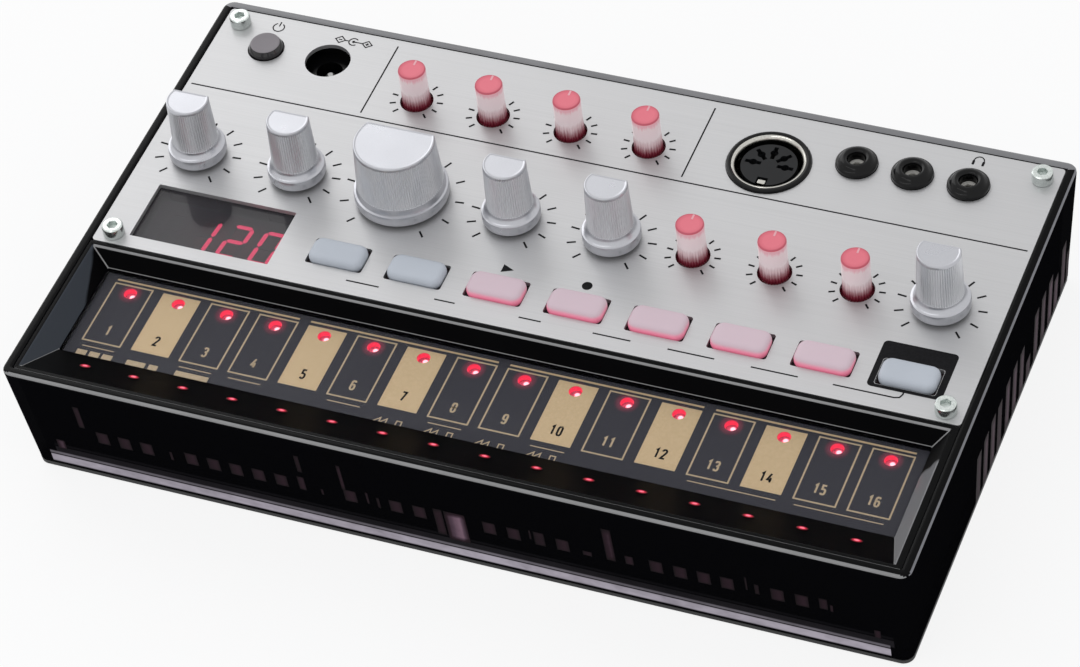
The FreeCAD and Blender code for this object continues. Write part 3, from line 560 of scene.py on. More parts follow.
@dataclass(frozen=True)
class Finish:
    """What every finish has: a name, a colour and the shine of its surface."""

    name: str
    colour: str
    roughness: float = 0.5
    specular: float = 0.5
    metallic: float = 0.0
    alpha: float = 1.0

    def begin(self, light: float = 0.0) -> tuple[Material, NodeTree, Node,
                                                 Output]:
        """Start a material.

        Args:
            light: how strongly it shines.

        Returns:
            The material, its tree, its shader node and the output that gives Object coordinates.
        """
        material = bpy.data.materials.new(self.name)
        material.use_nodes = True
        tree = material.node_tree
        tree.nodes.clear()
        shader = add_node(tree, "BsdfPrincipled", {
            "Base Color": linear(self.colour), "Roughness": self.roughness, "Metallic": self.metallic,
            "Specular IOR Level": self.specular, "Alpha": self.alpha, "Emission Strength": light})
        add_node(tree, "OutputMaterial", links={"Surface": (shader, "BSDF")})
        return material, tree, shader, (add_node(tree, "TexCoord"), "Object")


@dataclass(frozen=True)
class MouldedPlastic(Finish):
    """Injection-moulded plastic or rubber: a fine spark-eroded grain and a faint unevenness of colour."""

    shade: str = "#000000"
    mottle: float = 14.0
    grain: float = 0.35
    depth: float = 0.01

    def material(self) -> Material:
        """Make the material: colour from broad noise, bump and gloss from fine noise.

        Returns:
            The material.
        """
        material, tree, shader, place = self.begin()
        broad = add_node(tree, "TexNoise", {"Scale": per_mm(self.mottle), "Detail": 3.0}, {"Vector": place})
        tone = add_node(tree, "ValToRGB", links={"Fac": (broad, "Fac")},
            stops=[(0.3, self.shade), (0.65, self.colour)])
        fine = add_node(tree, "TexNoise", {"Scale": per_mm(self.grain), "Detail": 4.0}, {"Vector": place})
        bump = add_node(tree, "Bump", {"Strength": 0.35, "Distance": self.depth * MM},
            {"Height": (fine, "Fac")})
        shine = add_node(tree, "MapRange", {"To Min": max(self.roughness - 0.05, 0.02),
            "To Max": self.roughness + 0.05}, {"Value": (broad, "Fac")})
        join(tree, shader, {"Base Color": (tone, "Color"), "Roughness": (shine, "Result"),
            "Normal": (bump, "Normal")})
        return material


@dataclass(frozen=True)
class BrushedMetal(Finish):
    """Metal with fine lines one way, as brushing or turning leaves them: long streaks of light and dark."""

    shade: str = "#808080"
    streak: tuple[float, float, float] = (60.0, 0.12, 0.12)
    cloud: float = 40.0
    relief: float = 0.12

    def material(self) -> Material:
        """Make the material: noise drawn out along the streak's long axis, over a broad soft cloud.

        Returns:
            The material.
        """
        material, tree, shader, place = self.begin()
        drawn = add_node(tree, "Mapping", {"Scale": [per_mm(size) for size in self.streak]},
            {"Vector": place})
        lines = add_node(tree, "TexNoise", {"Scale": 1.0, "Detail": 3.0, "Roughness": 0.7},
            {"Vector": (drawn, "Vector")})
        tone = add_node(tree, "ValToRGB", links={"Fac": (lines, "Fac")},
            stops=[(0.25, self.shade), (0.6, self.colour)])
        cloud = add_node(tree, "TexNoise", {"Scale": per_mm(self.cloud), "Detail": 2.0}, {"Vector": place})
        shine = add_node(tree, "MapRange", {"To Min": self.roughness - 0.04, "To Max": self.roughness + 0.06},
            {"Value": (cloud, "Fac")})
        bump = add_node(tree, "Bump", {"Strength": self.relief, "Distance": 0.01 * MM},
            {"Height": (lines, "Fac")})
        join(tree, shader, {"Base Color": (tone, "Color"), "Roughness": (shine, "Result"),
            "Normal": (bump, "Normal")})
        return material


@dataclass(frozen=True)
class LitPlastic(Finish):
    """Translucent plastic or rubber over a light: its colour and light follow a value written on the mesh, as
    painted glow on parts that are no lamps.
    """

    stops: tuple[tuple[float, str], ...] = ((0.0, "#000000"), (1.0, "#FFFFFF"))
    light: float = 0.5
    attribute: str = "glow"

    def material(self) -> Material:
        """Make the material: the attribute through a ramp, for both colour and light.

        Returns:
            The material.
        """
        material, tree, shader, place = self.begin(light=self.light)
        value = add_node(tree, "Attribute", attribute_name=self.attribute)
        cloud = add_node(tree, "TexNoise", {"Scale": per_mm(1.6), "Detail": 2.0}, {"Vector": place})
        spread = add_node(tree, "MapRange", {"To Min": -0.06, "To Max": 0.06}, {"Value": (cloud, "Fac")})
        total = add_node(tree, "Math", links={0: (value, "Fac"), 1: (spread, "Result")}, operation="ADD")
        ramp = add_node(tree, "ValToRGB", links={"Fac": (total, "Value")}, stops=self.stops)
        join(tree, shader, {"Base Color": (ramp, "Color"), "Emission Color": (ramp, "Color")})
        return material


@dataclass(frozen=True)
class PrintedInk(Finish):
    """Screen-printed ink: matt, dense, with a slight mottle from the mesh of the screen."""

    shade: str = "#000000"

    def material(self) -> Material:
        """Make the material: two close tones mixed by noise at the screen's mesh.

        Returns:
            The material.
        """
        material, tree, shader, place = self.begin()
        mesh = add_node(tree, "TexNoise", {"Scale": per_mm(0.5), "Detail": 2.0}, {"Vector": place})
        tone = add_node(tree, "ValToRGB", links={"Fac": (mesh, "Fac")},
            stops=[(0.35, self.shade), (0.65, self.colour)])
        join(tree, shader, {"Base Color": (tone, "Color")})
        return material


@dataclass(frozen=True)
class KeyFilm(Finish):
    """Printed polyester film over the key lights: dark, satin, with a painted red glow halo round each light.
    """

    halo: str = "#6E1A2E"
    pitch: float = 11.0
    light_y: float = -25.65
    core: float = 1.3
    reach: float = 2.9
    shade: str = "#3C3C43"

    def material(self) -> Material:
        """Make the material: distance to the nearest light, from x wrapped by the pitch, sets the painted
        glow halo.

        Returns:
            The material.
        """
        material, tree, shader, place = self.begin(light=1.0)
        parts = add_node(tree, "SeparateXYZ", links={"Vector": place})
        middle_x = add_node(tree, "Math", {1: self.pitch / 2 * MM}, {0: (parts, "X")}, operation="SUBTRACT")
        wrapped = add_node(tree, "Math", {1: self.pitch / 2 * MM, 2: -self.pitch / 2 * MM},
            {0: (middle_x, "Value")}, operation="WRAP")
        shifted = add_node(tree, "Math", {1: self.light_y * MM}, {0: (parts, "Y")}, operation="SUBTRACT")
        offset = add_node(tree, "CombineXYZ", links={"X": (wrapped, "Value"), "Y": (shifted, "Value")})
        away = add_node(tree, "VectorMath", links={0: (offset, "Vector")}, operation="LENGTH")
        near = add_node(tree, "MapRange", {"From Min": self.core * MM, "From Max": self.reach * MM,
            "To Min": 1.0, "To Max": 0.0}, {"Value": (away, "Value")})
        halo = add_node(tree, "ValToRGB", links={"Fac": (near, "Result")},
            stops=[(0.0, "#000000"), (1.0, self.halo)])
        halo.color_ramp.interpolation = "EASE"
        weave = add_node(tree, "TexNoise", {"Scale": per_mm(0.6), "Detail": 3.0}, {"Vector": place})
        tone = add_node(tree, "ValToRGB", links={"Fac": (weave, "Fac")},
            stops=[(0.3, self.shade), (0.7, self.colour)])
        join(tree, shader, {"Base Color": (tone, "Color"), "Emission Color": (halo, "Color")})
        return material


@dataclass(frozen=True)
class HeightTint(Finish):
    """Translucent moulding with painted light from below: its colour and emission change with height,
    painting the light as it fades up the plastic.
    """

    low: float = 0.0
    high: float = 10.0
    stops: tuple[tuple[float, str], ...] = ((0.0, "#000000"), (1.0, "#FFFFFF"))
    light: float = 0.3

    def material(self) -> Material:
        """Make the material: the height between low and high through a ramp, broken up by upright noise.

        Returns:
            The material.
        """
        material, tree, shader, place = self.begin(light=self.light)
        parts = add_node(tree, "SeparateXYZ", links={"Vector": place})
        share = add_node(tree, "MapRange", {"From Min": self.low * MM, "From Max": self.high * MM},
            {"Value": (parts, "Z")})
        drawn = add_node(tree, "Mapping", {"Scale": (per_mm(0.4), per_mm(0.4), per_mm(4.0))},
            {"Vector": place})
        cloud = add_node(tree, "TexNoise", {"Scale": 1.0, "Detail": 2.0}, {"Vector": (drawn, "Vector")})
        spread = add_node(tree, "MapRange", {"To Min": -0.1, "To Max": 0.1}, {"Value": (cloud, "Fac")})
        total = add_node(tree, "Math", links={0: (share, "Result"), 1: (spread, "Result")}, operation="ADD")
        ramp = add_node(tree, "ValToRGB", links={"Fac": (total, "Value")}, stops=self.stops)
        join(tree, shader, {"Base Color": (ramp, "Color"), "Emission Color": (ramp, "Color")})
        return material


@dataclass(frozen=True)
class SmokeWall(Finish):
    """Smoke polycarbonate wall: nearly black, with painted light in emissive bands along its foot on the
    front.
    """

    band: Pair = (2.45, 4.8)
    line: Pair = (5.1, 5.9)
    front: float = -52.0
    half_length: float = 91.0
    tall: float = 10.0
    soft: float = 0.2
    edge_light: str = "#A59FAA"

    def material(self) -> Material:
        """Make the material: a ramp over the height gives the painted light bands, within the front's length
        only.

        Returns:
            The material.
        """
        material, tree, shader, place = self.begin(light=1.0)
        parts = add_node(tree, "SeparateXYZ", links={"Vector": place})
        tall, soft, stops = self.tall, self.soft, []
        height = add_node(tree, "MapRange", {"From Min": 0.0, "From Max": tall * MM}, {"Value": (parts, "Z")})
        for (low, high), code in ((self.band, "#FFFFFF"), (self.line, "#A0A0A0")):
            stops += [((low - soft) / tall, "#000000"), ((low + soft) / tall, code),
                      ((high - soft) / tall, code), ((high + soft) / tall, "#000000")]
        bands = add_node(tree, "ValToRGB", links={"Fac": (height, "Result")}, stops=stops)
        ahead = add_node(tree, "Math", {1: self.front * MM}, {0: (parts, "Y")}, operation="LESS_THAN")
        side = add_node(tree, "Math", links={0: (parts, "X")}, operation="ABSOLUTE")
        within = add_node(tree, "Math", {1: self.half_length * MM}, {0: (side, "Value")},
            operation="LESS_THAN")
        there = add_node(tree, "Math", links={0: (ahead, "Value"), 1: (within, "Value")},
            operation="MULTIPLY")
        mask = add_node(tree, "Math", links={0: (bands, "Color"), 1: (there, "Value")}, operation="MULTIPLY")
        drawn = add_node(tree, "Mapping", {"Scale": (per_mm(14.0), per_mm(14.0), per_mm(8.0))},
            {"Vector": place})
        flecks = add_node(tree, "TexNoise", {"Scale": 1.0, "Detail": 4.0, "Roughness": 0.75},
            {"Vector": (drawn, "Vector")})
        vary = add_node(tree, "MapRange", {"From Min": 0.3, "From Max": 0.6, "To Min": 0.6, "To Max": 1.0},
            {"Value": (flecks, "Fac")})
        level = add_node(tree, "Math", links={0: (mask, "Value"), 1: (vary, "Result")}, operation="MULTIPLY")
        glow = add_node(tree, "ValToRGB", links={"Fac": (level, "Value")},
            stops=[(0.0, "#000000"), (1.0, self.edge_light)])
        join(tree, shader, {"Emission Color": (glow, "Color")})
        return material


@dataclass(frozen=True)
class EndSlope(Finish):
    """Sloping end of the well with painted light and reflection in its colour: pale in front, painted black
    where it mirrors the rear slope.
    """

    dark: str = "#040405"
    rear: Pair = (-33.0, -19.0)
    rise: Pair = (26.6, 30.2)
    lean: float = 1.0
    edge: Pair = (0.02, 0.12)
    far_roughness: float = 0.6

    def material(self) -> Material:
        """Make the material: the share of the way back less the leant share of the way up sets the tone of
        the painted reflection.

        Returns:
            The material.
        """
        material, tree, shader, place = self.begin()
        parts = add_node(tree, "SeparateXYZ", links={"Vector": place})
        back = add_node(tree, "MapRange", {"From Min": self.rear[0] * MM, "From Max": self.rear[1] * MM},
            {"Value": (parts, "Y")})
        up = add_node(tree, "MapRange", {"From Min": self.rise[0] * MM, "From Max": self.rise[1] * MM,
            "To Min": 0.0, "To Max": self.lean}, {"Value": (parts, "Z")})
        over = add_node(tree, "Math", links={0: (back, "Result"), 1: (up, "Result")}, operation="SUBTRACT")
        drawn = add_node(tree, "Mapping", {"Scale": (per_mm(9.0), per_mm(9.0), per_mm(2.0))},
            {"Vector": place})
        wave = add_node(tree, "TexNoise", {"Scale": 1.0, "Detail": 1.0}, {"Vector": (drawn, "Vector")})
        sway = add_node(tree, "MapRange", {"To Min": -0.12, "To Max": 0.12}, {"Value": (wave, "Fac")})
        total = add_node(tree, "Math", links={0: (over, "Value"), 1: (sway, "Result")}, operation="ADD")
        tone = add_node(tree, "ValToRGB", links={"Fac": (total, "Value")}, stops=[(self.edge[0], self.colour),
            (self.edge[1], self.dark)])
        gloss = add_node(tree, "MapRange", {"From Min": self.edge[0], "From Max": self.edge[1],
            "To Min": self.roughness, "To Max": self.far_roughness}, {"Value": (total, "Value")})
        join(tree, shader, {"Base Color": (tone, "Color"), "Specular Tint": (tone, "Color"),
            "Roughness": (gloss, "Result")})
        return material


@dataclass(frozen=True)
class DigitFace(Finish):
    """Black face of the display with painted glow for the light that its lit digits throw on it."""

    haze: str = "#4A1018"
    centre: Pair = (-67.2, -6.9)
    half: Pair = (13.0, 7.0)

    def material(self) -> Material:
        """Make the material: the painted glow falls off with the distance from the centre over the half
        sizes.

        Returns:
            The material.
        """
        material, tree, shader, place = self.begin(light=1.0)
        scaled = add_node(tree, "Mapping", {"Scale": (per_mm(self.half[0]), per_mm(self.half[1]), 0.0),
            "Location": (-self.centre[0] / self.half[0], -self.centre[1] / self.half[1], 0.0)},
            {"Vector": place})
        away = add_node(tree, "VectorMath", links={0: (scaled, "Vector")}, operation="LENGTH")
        near = add_node(tree, "MapRange", {"To Min": 1.0, "To Max": 0.0}, {"Value": (away, "Value")})
        haze = add_node(tree, "ValToRGB", links={"Fac": (near, "Result")},
            stops=[(0.0, "#000000"), (1.0, self.haze)])
        join(tree, shader, {"Emission Color": (haze, "Color")})
        return material


class Finishes:
    """The finishes of the whole object, each made once."""

    def __init__(self) -> None:
        """Make every material."""
        # Smoke polycarbonate, polished mould: almost black, deeper in the walls, where it is thick.
        self.smoke_top = MouldedPlastic("smoke_polycarbonate_polished", "#060607", 0.14, 0.07, alpha=0.97,
            shade="#050506", depth=0.002).material()
        self.smoke_deep = MouldedPlastic("smoke_polycarbonate_slopes", "#050506", 0.3, 0.02, shade="#030304",
            depth=0.001).material()
        # Painted light on the wall: pale emissive bands along the foot of the front.
        self.smoke_wall = SmokeWall("smoke_polycarbonate_wall", "#09090B", 0.15, 0.0, alpha=0.97).material()
        # The same in the sloping ends of the well: a clean mirror gloss, with painted reflection and light in
        # its colour, paler on the right.
        self.smoke_slope = EndSlope("smoke_polycarbonate_gloss_painted_reflection", "#3C4046", 0.08, 0.3).material()
        self.smoke_slope_right = EndSlope("smoke_polycarbonate_right_slope_painted_light", "#737375", 0.15, 0.4,
            rear=(-29.5, -19.0), lean=0.15).material()
        # Painted highlights on the moulded edges of the smoke plastic: grey to white colour for the light
        # that the edges catch.
        self.smoke_edge = MouldedPlastic("smoke_polycarbonate_edge_painted_highlight", "#8C8C8C", 0.2, 0.5, shade="#808080",
            depth=0.001).material()
        self.smoke_bright = MouldedPlastic("smoke_polycarbonate_right_rim_painted_highlight", "#77777C", 0.2, 0.5,
            shade="#6C6C71", mottle=4.0, depth=0.001).material()
        # Painted reflection on the rear rim: a pale grey colour for the pale room that it mirrors.
        self.smoke_rear = MouldedPlastic("smoke_polycarbonate_rear_rim_painted_reflection", "#7E7E80", 0.25, 0.4,
            shade="#747476", depth=0.001).material()
        # Black ABS with a spark-eroded texture: dull, soft highlights.
        self.base = MouldedPlastic("black_abs_textured", "#141416", 0.55, 0.4, shade="#0E0E10",
            depth=0.03).material()
        # Aluminium sheet, brushed across the panel and clear anodised: pale, silky, streaks along X.
        self.panel = BrushedMetal("brushed_anodised_aluminium", "#C0C0C1", 0.44, metallic=0.75,
            shade="#B8B8B9", relief=0.05).material()
        # Turned aluminium, bead blasted and anodised: satin, brighter on its polished bevel.
        self.knob = BrushedMetal("turned_anodised_aluminium", "#BCBDC2", 0.28, metallic=0.8, shade="#B6B7BC",
            relief=0.04, streak=(0.2, 0.2, 5.0), cloud=6.0).material()
        # The same between the ribs, painted paler for the light caught twice there, and duller.
        self.knob_ribs = BrushedMetal("knurled_aluminium_painted_light", "#D9DADD", 0.33, metallic=0.6,
            shade="#CBCCCF", relief=0.05, streak=(0.25, 0.25, 6.0), cloud=6.0).material()
        # Zinc-plated steel: grey, slightly blue, small bright highlights.
        self.screw = BrushedMetal("zinc_plated_steel", "#D2D8D5", 0.24, metallic=1.0, shade="#B4BAB8",
            streak=(0.3, 0.3, 0.3), cloud=2.0).material()
        # Turned steel of the shafts: mid grey with fine rings.
        self.shaft = BrushedMetal("turned_steel", "#A8A8A8", 0.32, metallic=1.0, shade="#8A8A8A", streak=(0.3,
            0.3, 8.0)).material()
        # Nickel plating: mirror-like, a little warm.
        self.nickel = BrushedMetal("nickel_plating", "#C8C6C0", 0.18, metallic=1.0, shade="#ADABA5",
            streak=(0.4, 0.4, 0.4), cloud=4.0).material()
        # Plated spring brass of contacts: pale, dull beside the nickel.
        self.spring = BrushedMetal("plated_contact", "#D8D6D0", 0.4, metallic=0.4, shade="#CAC8C2",
            streak=(0.4, 0.4, 0.4), cloud=4.0).material()
        # Screen-printed epoxy ink on the panel: matt charcoal.
        self.ink = PrintedInk("charcoal_screen_ink", "#19191B", 0.6, 0.08, shade="#131315").material()
        # Gold ink on the film: a warm matt tan with a faint metallic lift.
        self.gold = PrintedInk("gold_screen_ink", "#E2C69C", 0.45, 0.3, metallic=0.1,
            shade="#DABE94").material()
        self.gold_line = PrintedInk("gold_line_ink", "#D4BE9C", 0.45, 0.3, shade="#C8B290").material()
        # Polyester film, printed from below: dark, satin, with painted red glow halos over the lights.
        self.film = KeyFilm("printed_polyester_film_painted_halo", "#404047", 0.5, 0.08).material()
        # Polished acrylic plate: clear, hard gloss.
        self.plate = MouldedPlastic("clear_acrylic_polished", "#1C1C22", 0.05, 0.5, alpha=0.08,
            shade="#18181E", depth=0.001).material()
        # Red light-emitting diodes below the holes: deep red cups with a near-white heart.
        self.key_light = LitPlastic("red_key_light", "#E03C5A", 0.3, stops=((0.0, "#3A0A14"), (0.3,
            "#8E1A2E"), (0.6, "#D8304C"), (0.82, "#F0708A"), (1.0, "#FFC8D4")), light=1.15).material()
        # Frosted acrylic knob with painted glow and shade from the lamp below: dark at its foot, pale above,
        # coral on its top and darker towards the top's rim.
        self.glow_side = HeightTint("frosted_acrylic_side_painted_glow", "#E5C6CB", 0.25, 0.5, low=28.7, high=39.3, stops=(
            (0.0, "#3A0A14"), (0.15, "#5E1422"), (0.23, "#742836"), (0.32, "#9C7076"), (0.42, "#CCB0B3"),
            (0.57, "#E4D2D4"), (0.86, "#E6D0D2"), (0.95, "#E3ACB4")), light=0.14).material()
        self.glow_top = LitPlastic("frosted_acrylic_top_painted_glow", "#D8707C", 0.4, 0.3, stops=(
            (0.0, "#D66F7C"), (0.7, "#C8606E"), (1.0, "#B65462")), light=0.14).material()
        self.pointer = MouldedPlastic("frosted_acrylic_notch", "#E8B0B6", 0.4, 0.3,
            shade="#E0A4AC").material()
        # Red glow: painted in the cups round the knobs' feet, and the own light of the knob lights below.
        self.glow_well = LitPlastic("red_lit_well", "#240810", 0.25, stops=(
            (0.0, "#14060A"), (0.5, "#2E0810"), (1.0, "#7A182A")), light=0.3).material()
        # Translucent silicone: dull and soft, with painted pink glow in colour and emission where its light
        # shines through the edges.
        self.lit_rubber = LitPlastic("silicone_lit_painted_glow", "#F0A0A8", 0.55, 0.3, stops=(
            (0.0, "#BFACB4"), (0.2, "#C2A8B1"), (0.55, "#DE93A6"), (1.0, "#F07E9C")), light=0.24).material()
        # A darker copy of the silicone as painted shade under the panel.
        self.dark_rubber = MouldedPlastic("silicone_painted_shade", "#2E2226", 0.7, 0.2,
            shade="#261C20").material()
        self.grey_rubber = MouldedPlastic("silicone_unlit", "#BEC4CC", 0.5, 0.35, shade="#B7BDC5", grain=0.5,
            depth=0.01).material()
        # ABS of the power button: a satin grey dish inside a polished dark chamfer.
        self.power_cap = MouldedPlastic("grey_abs_satin", "#7E797D", 0.4, 0.4, shade="#767175").material()
        self.power_rim = MouldedPlastic("dark_abs_polished", "#1C1A1C", 0.12, 0.5, shade="#181618").material()
        # Glass-filled nylon of sockets: black, slightly polished.
        self.socket = MouldedPlastic("black_nylon_socket", "#09090A", 0.16, 0.2, shade="#060607",
            depth=0.006).material()
        self.insulator = MouldedPlastic("dark_nylon_core", "#1A1B1D", 0.3, 0.22, shade="#151618",
            depth=0.006).material()
        # Smoke acrylic window: hard gloss, grey-brown, half clear.
        self.window = MouldedPlastic("smoke_acrylic_window", "#3E3B40", 0.05, 0.45, alpha=0.46,
            shade="#3A373C", depth=0.0005).material()
        # Segment display: a black face with painted glow round the digits, bars that shine pinkish red and
        # bars that stay dark.
        self.digit_face = DigitFace("display_face", "#1B1719", 0.4, 0.3).material()
        self.digit_lit = PrintedInk("segment_lit", "#E14664", 0.4, 0.3, shade="#D83A5A").material()
        self.digit_off = PrintedInk("segment_unlit", "#3A2A2E", 0.4, 0.3, shade="#33252A").material()
        lit = self.digit_lit.node_tree.nodes["Principled BSDF"].inputs
        lit["Emission Color"].default_value, lit["Emission Strength"].default_value = linear("#EC3568"), 2.2
        # Inside: green mask on glass epoxy, dull black switches, rough black paper, yellowish plated steel
        # and the cells' satin sleeves.
        self.board = MouldedPlastic("green_solder_mask", "#0E3A22", 0.35, 0.5, shade="#0A2E1A",
            mottle=5.0).material()
        self.switch = MouldedPlastic("black_phenolic", "#222224", 0.45, 0.4, shade="#1A1A1C").material()
        self.cone = MouldedPlastic("treated_paper_cone", "#1C1B1A", 0.8, 0.2, shade="#141312", grain=0.8,
            depth=0.06).material()
        self.basket = BrushedMetal("zinc_chromate_steel", "#8C8B86", 0.4, metallic=1.0, shade="#6E6D69",
            streak=(1.0, 1.0, 1.0)).material()
        self.cells = MouldedPlastic("printed_cell_sleeve", "#3E4147", 0.3, 0.5, shade="#34373C").material()
        # Soft rubber pads: black, with no shine.
        self.feet = MouldedPlastic("soft_rubber_pad", "#1A1A1B", 0.85, 0.2, shade="#121213",
            depth=0.03).material()
        # Painted light for the inner light seen dimly through the smoke: dull pink, greyer where it is
        # brighter.
        self.slot_light = LitPlastic("light_through_smoke", "#2A161C", 0.5, 0.02, stops=(
            (0.0, "#050304"), (0.4, "#20131A"), (0.7, "#43343E"), (1.0, "#6A5460")), light=0.45).material()
        # Painted red light points at the foot of the front slope.
        self.point_light = LitPlastic("red_light_point", "#A01020", 0.3, 0.1, stops=(
            (0.0, "#1C0206"), (0.35, "#5A0A14"), (0.7, "#B01A34"), (1.0, "#EE7C90")), light=0.65).material()


# The object

class Light(Enum):
    """Whether a rubber button is lit."""

    ON = "on"
    OFF = "off"


class CaseFace(IntEnum):
    """Which part of the case a face belongs to, in the order of its finishes."""

    WALL = 0
    FLAT = 1
    LEFT_END = 2
    EDGE = 3
    RIGHT_EDGE = 4
    FRONT_AND_BACK = 5
    REAR_RIM = 6
    RIGHT_END = 7


@dataclass
class SmokeCase:
    """Tapered smoke shell: walls and rim, the land in front of the panel and the sunken keyboard well."""

    finishes: Finishes
    foot: float = 1.6
    taper_end: float = 0.5
    side_draft: float = 1.5
    end_draft: float = 2.9
    wall: float = 2.0
    corner: float = 2.4
    rim_width: float = 2.1
    rim_step: float = 0.2
    fillet: float = 0.7
    ledge_width: float = 1.1
    ledge: Pair = (27.5, 29.3)
    slopes: tuple[float, float, float] = (3.1, 9.2, 2.05)
    land_bottom: float = 28.2
    floor: float = 23.9
    rib_count: int = 9
    rib_pitch: float = 9.5

    def case_box(self, height: float, inset: float) -> Box:
        """Work out the case's outline: its half sizes shrink evenly downwards.

        Args:
            height: height of the outline.
            inset: how far it lies inside the outer face.

        Returns:
            The outline.
        """
        high = extent("top_case")[1]
        share = (high[2] - height) / (high[2] - self.taper_end)
        half_x = high[0] - self.side_draft * share - inset
        half_y = high[1] - self.end_draft * share - inset
        return (-half_x, half_x, -half_y, half_y)

    def walls(self) -> Surface:
        """Closed wall section carried round the case's outline.

        Returns:
            The walls with their rounded rim and the ledge that carries the panel.
        """
        top, fillet, foot = extent("top_case")[1][2], self.fillet, self.foot
        turn = np.linspace(0, np.pi / 2, 5)
        section = [(foot, 0.12), (1.9, 0.0), (12.0, 0.0), (22.0, 0.0)]
        section += [(top - fillet * (1 - math.sin(t)), fillet * (1 - math.cos(t))) for t in turn]
        section += [(top, self.rim_width - 0.25), (top - 0.06, self.rim_width - 0.08),
            (top - self.rim_step, self.rim_width), (self.ledge[1], self.rim_width),
            (self.ledge[1], self.rim_width + self.ledge_width),
            (self.ledge[0], self.rim_width + self.ledge_width), (self.ledge[0], self.wall), (foot, self.wall)]
        boxes = [self.case_box(z, inset) for z, inset in section]
        corners = [max(self.corner - inset, 0.3) for _, inset in section]
        return loft(rounded_rings(boxes, [z for z, _ in section], corners), looped=True)

    def well(self) -> Surface:
        """Land round the keyboard, its slopes down to the plate and the tray below.

        Returns:
            One closed solid of nested rings, from the tray's underside over the land to the floor.
        """
        panel = footprint("control_panel")
        top = extent("control_panel")[1][2]
        plate_top = extent("touch_plate")[1][2]
        film_low = extent("key_film")[0][2]
        bottom = grown(footprint("key_film"), 0.15)
        side, front, back = self.slopes
        upper = (bottom[0] - side - 0.5, bottom[1] + side, bottom[2] - front, bottom[3] + back)
        land = (panel[0] - 0.1, panel[1] + 0.1, -panel[3] - 0.1, panel[2] - 0.15)
        rows = [(grown(bottom, 1.5), film_low - 1.5, 0.3), (grown(upper, -0.2), self.land_bottom, 0.3),
            (land, self.land_bottom, 0.3), (land, top - 0.12, 0.3), (grown(land, -0.12), top, 0.3),
            (grown(upper, 0.32), top, 0.34), (grown(upper, 0.14), top - 0.04, 0.28), (grown(upper, 0.0),
            top - 0.14, 0.24), (grown(upper, -0.13), top - 0.29, 0.2), (grown(bottom, 0.1), plate_top + 0.12,
            0.2), (bottom, plate_top, 0.3), (bottom, film_low, 0.3), (grown(bottom, -1.2), film_low, 0.3),
            (grown(bottom, -1.2), self.floor, 0.3)]
        boxes, heights, corners = zip(*rows)
        return loft(rounded_rings(boxes, heights, corners, 4))

    def ribs(self) -> Surface:
        """Upright stiffening ribs inside both side walls.

        Returns:
            One block for each rib.
        """
        inner = self.case_box(10.0, self.wall)[1]
        blocks = []
        for side in (-1, 1):
            for number in range(self.rib_count):
                y = (number - (self.rib_count - 1) / 2) * self.rib_pitch
                blocks.append(soft_block(centred(side * (inner - 0.4), y, 1.2, 1.0), 7.0, self.ledge[0], 0.3,
                    0.15))
        return gathered(blocks)

    def build(self) -> None:
        """Make the case, its faces finished by where they lie and look, some with painted highlights and
        reflections.
        """
        outer, panel = footprint("top_case"), footprint("control_panel")

        def finish_of(centres: np.ndarray, normals: np.ndarray) -> np.ndarray:
            """Sort the faces by where they lie and which way they look.

            Flats look up. The ends, front and back are the well's slopes; the ends carry painted reflection
            and light. The moulded edge, with a painted highlight, runs along the case's front, over the
            well's back and down the well's corners; the right rim has a painted highlight and the rear rim a
            painted reflection. All else is wall.

            Args:
                centres: the faces' centres.
                normals: the faces' normals.

            Returns:
                A CaseFace for each face.
            """
            (cx, cy, cz), (x, y, z) = centres.T, normals.T
            high = (z > 0.1) & (cz > 24.0)
            sloped = high & (z < 0.985)
            inner = (np.abs(cx) < panel[1] - 0.6) & (cy < panel[2])
            index = np.where(high & (z > 0.8), CaseFace.FLAT, CaseFace.WALL)
            index = np.where(sloped & inner & (z < 0.95), CaseFace.FRONT_AND_BACK, index)
            index = np.where(sloped & inner & (x > 0.15) & (np.abs(y) < 0.2), CaseFace.LEFT_END, index)
            index = np.where(sloped & inner & (x < -0.15) & (np.abs(y) < 0.2), CaseFace.RIGHT_END, index)
            corner = sloped & inner & (np.abs(x) > 0.15) & (np.abs(y) > 0.15)
            crest = sloped & inner & (y < -0.15) & (z > 0.6)
            front = sloped & (cy < outer[2] + self.fillet) & (z > 0.15) & (np.abs(x) < 0.6)
            right = sloped & (cx > outer[1] - 0.4) & (z > 0.3) & (x > 0.2)
            index = np.where(corner | crest | front, CaseFace.EDGE, index)
            rear = high & (z > 0.6) & (cy > outer[3] - self.rim_width + 0.1)
            index = np.where(rear, CaseFace.REAR_RIM, index)
            return np.where(right & ~front, CaseFace.RIGHT_EDGE, index)

        surface = gathered([self.walls(), self.well(), self.ribs()])
        finishes = self.finishes
        build_piece("smoke_case", surface, [finishes.smoke_wall, finishes.smoke_top, finishes.smoke_slope,
            finishes.smoke_edge, finishes.smoke_bright, finishes.smoke_deep, finishes.smoke_rear,
            finishes.smoke_slope_right], replaced=["top_case"], crease=28.0,
            choose=finish_of)


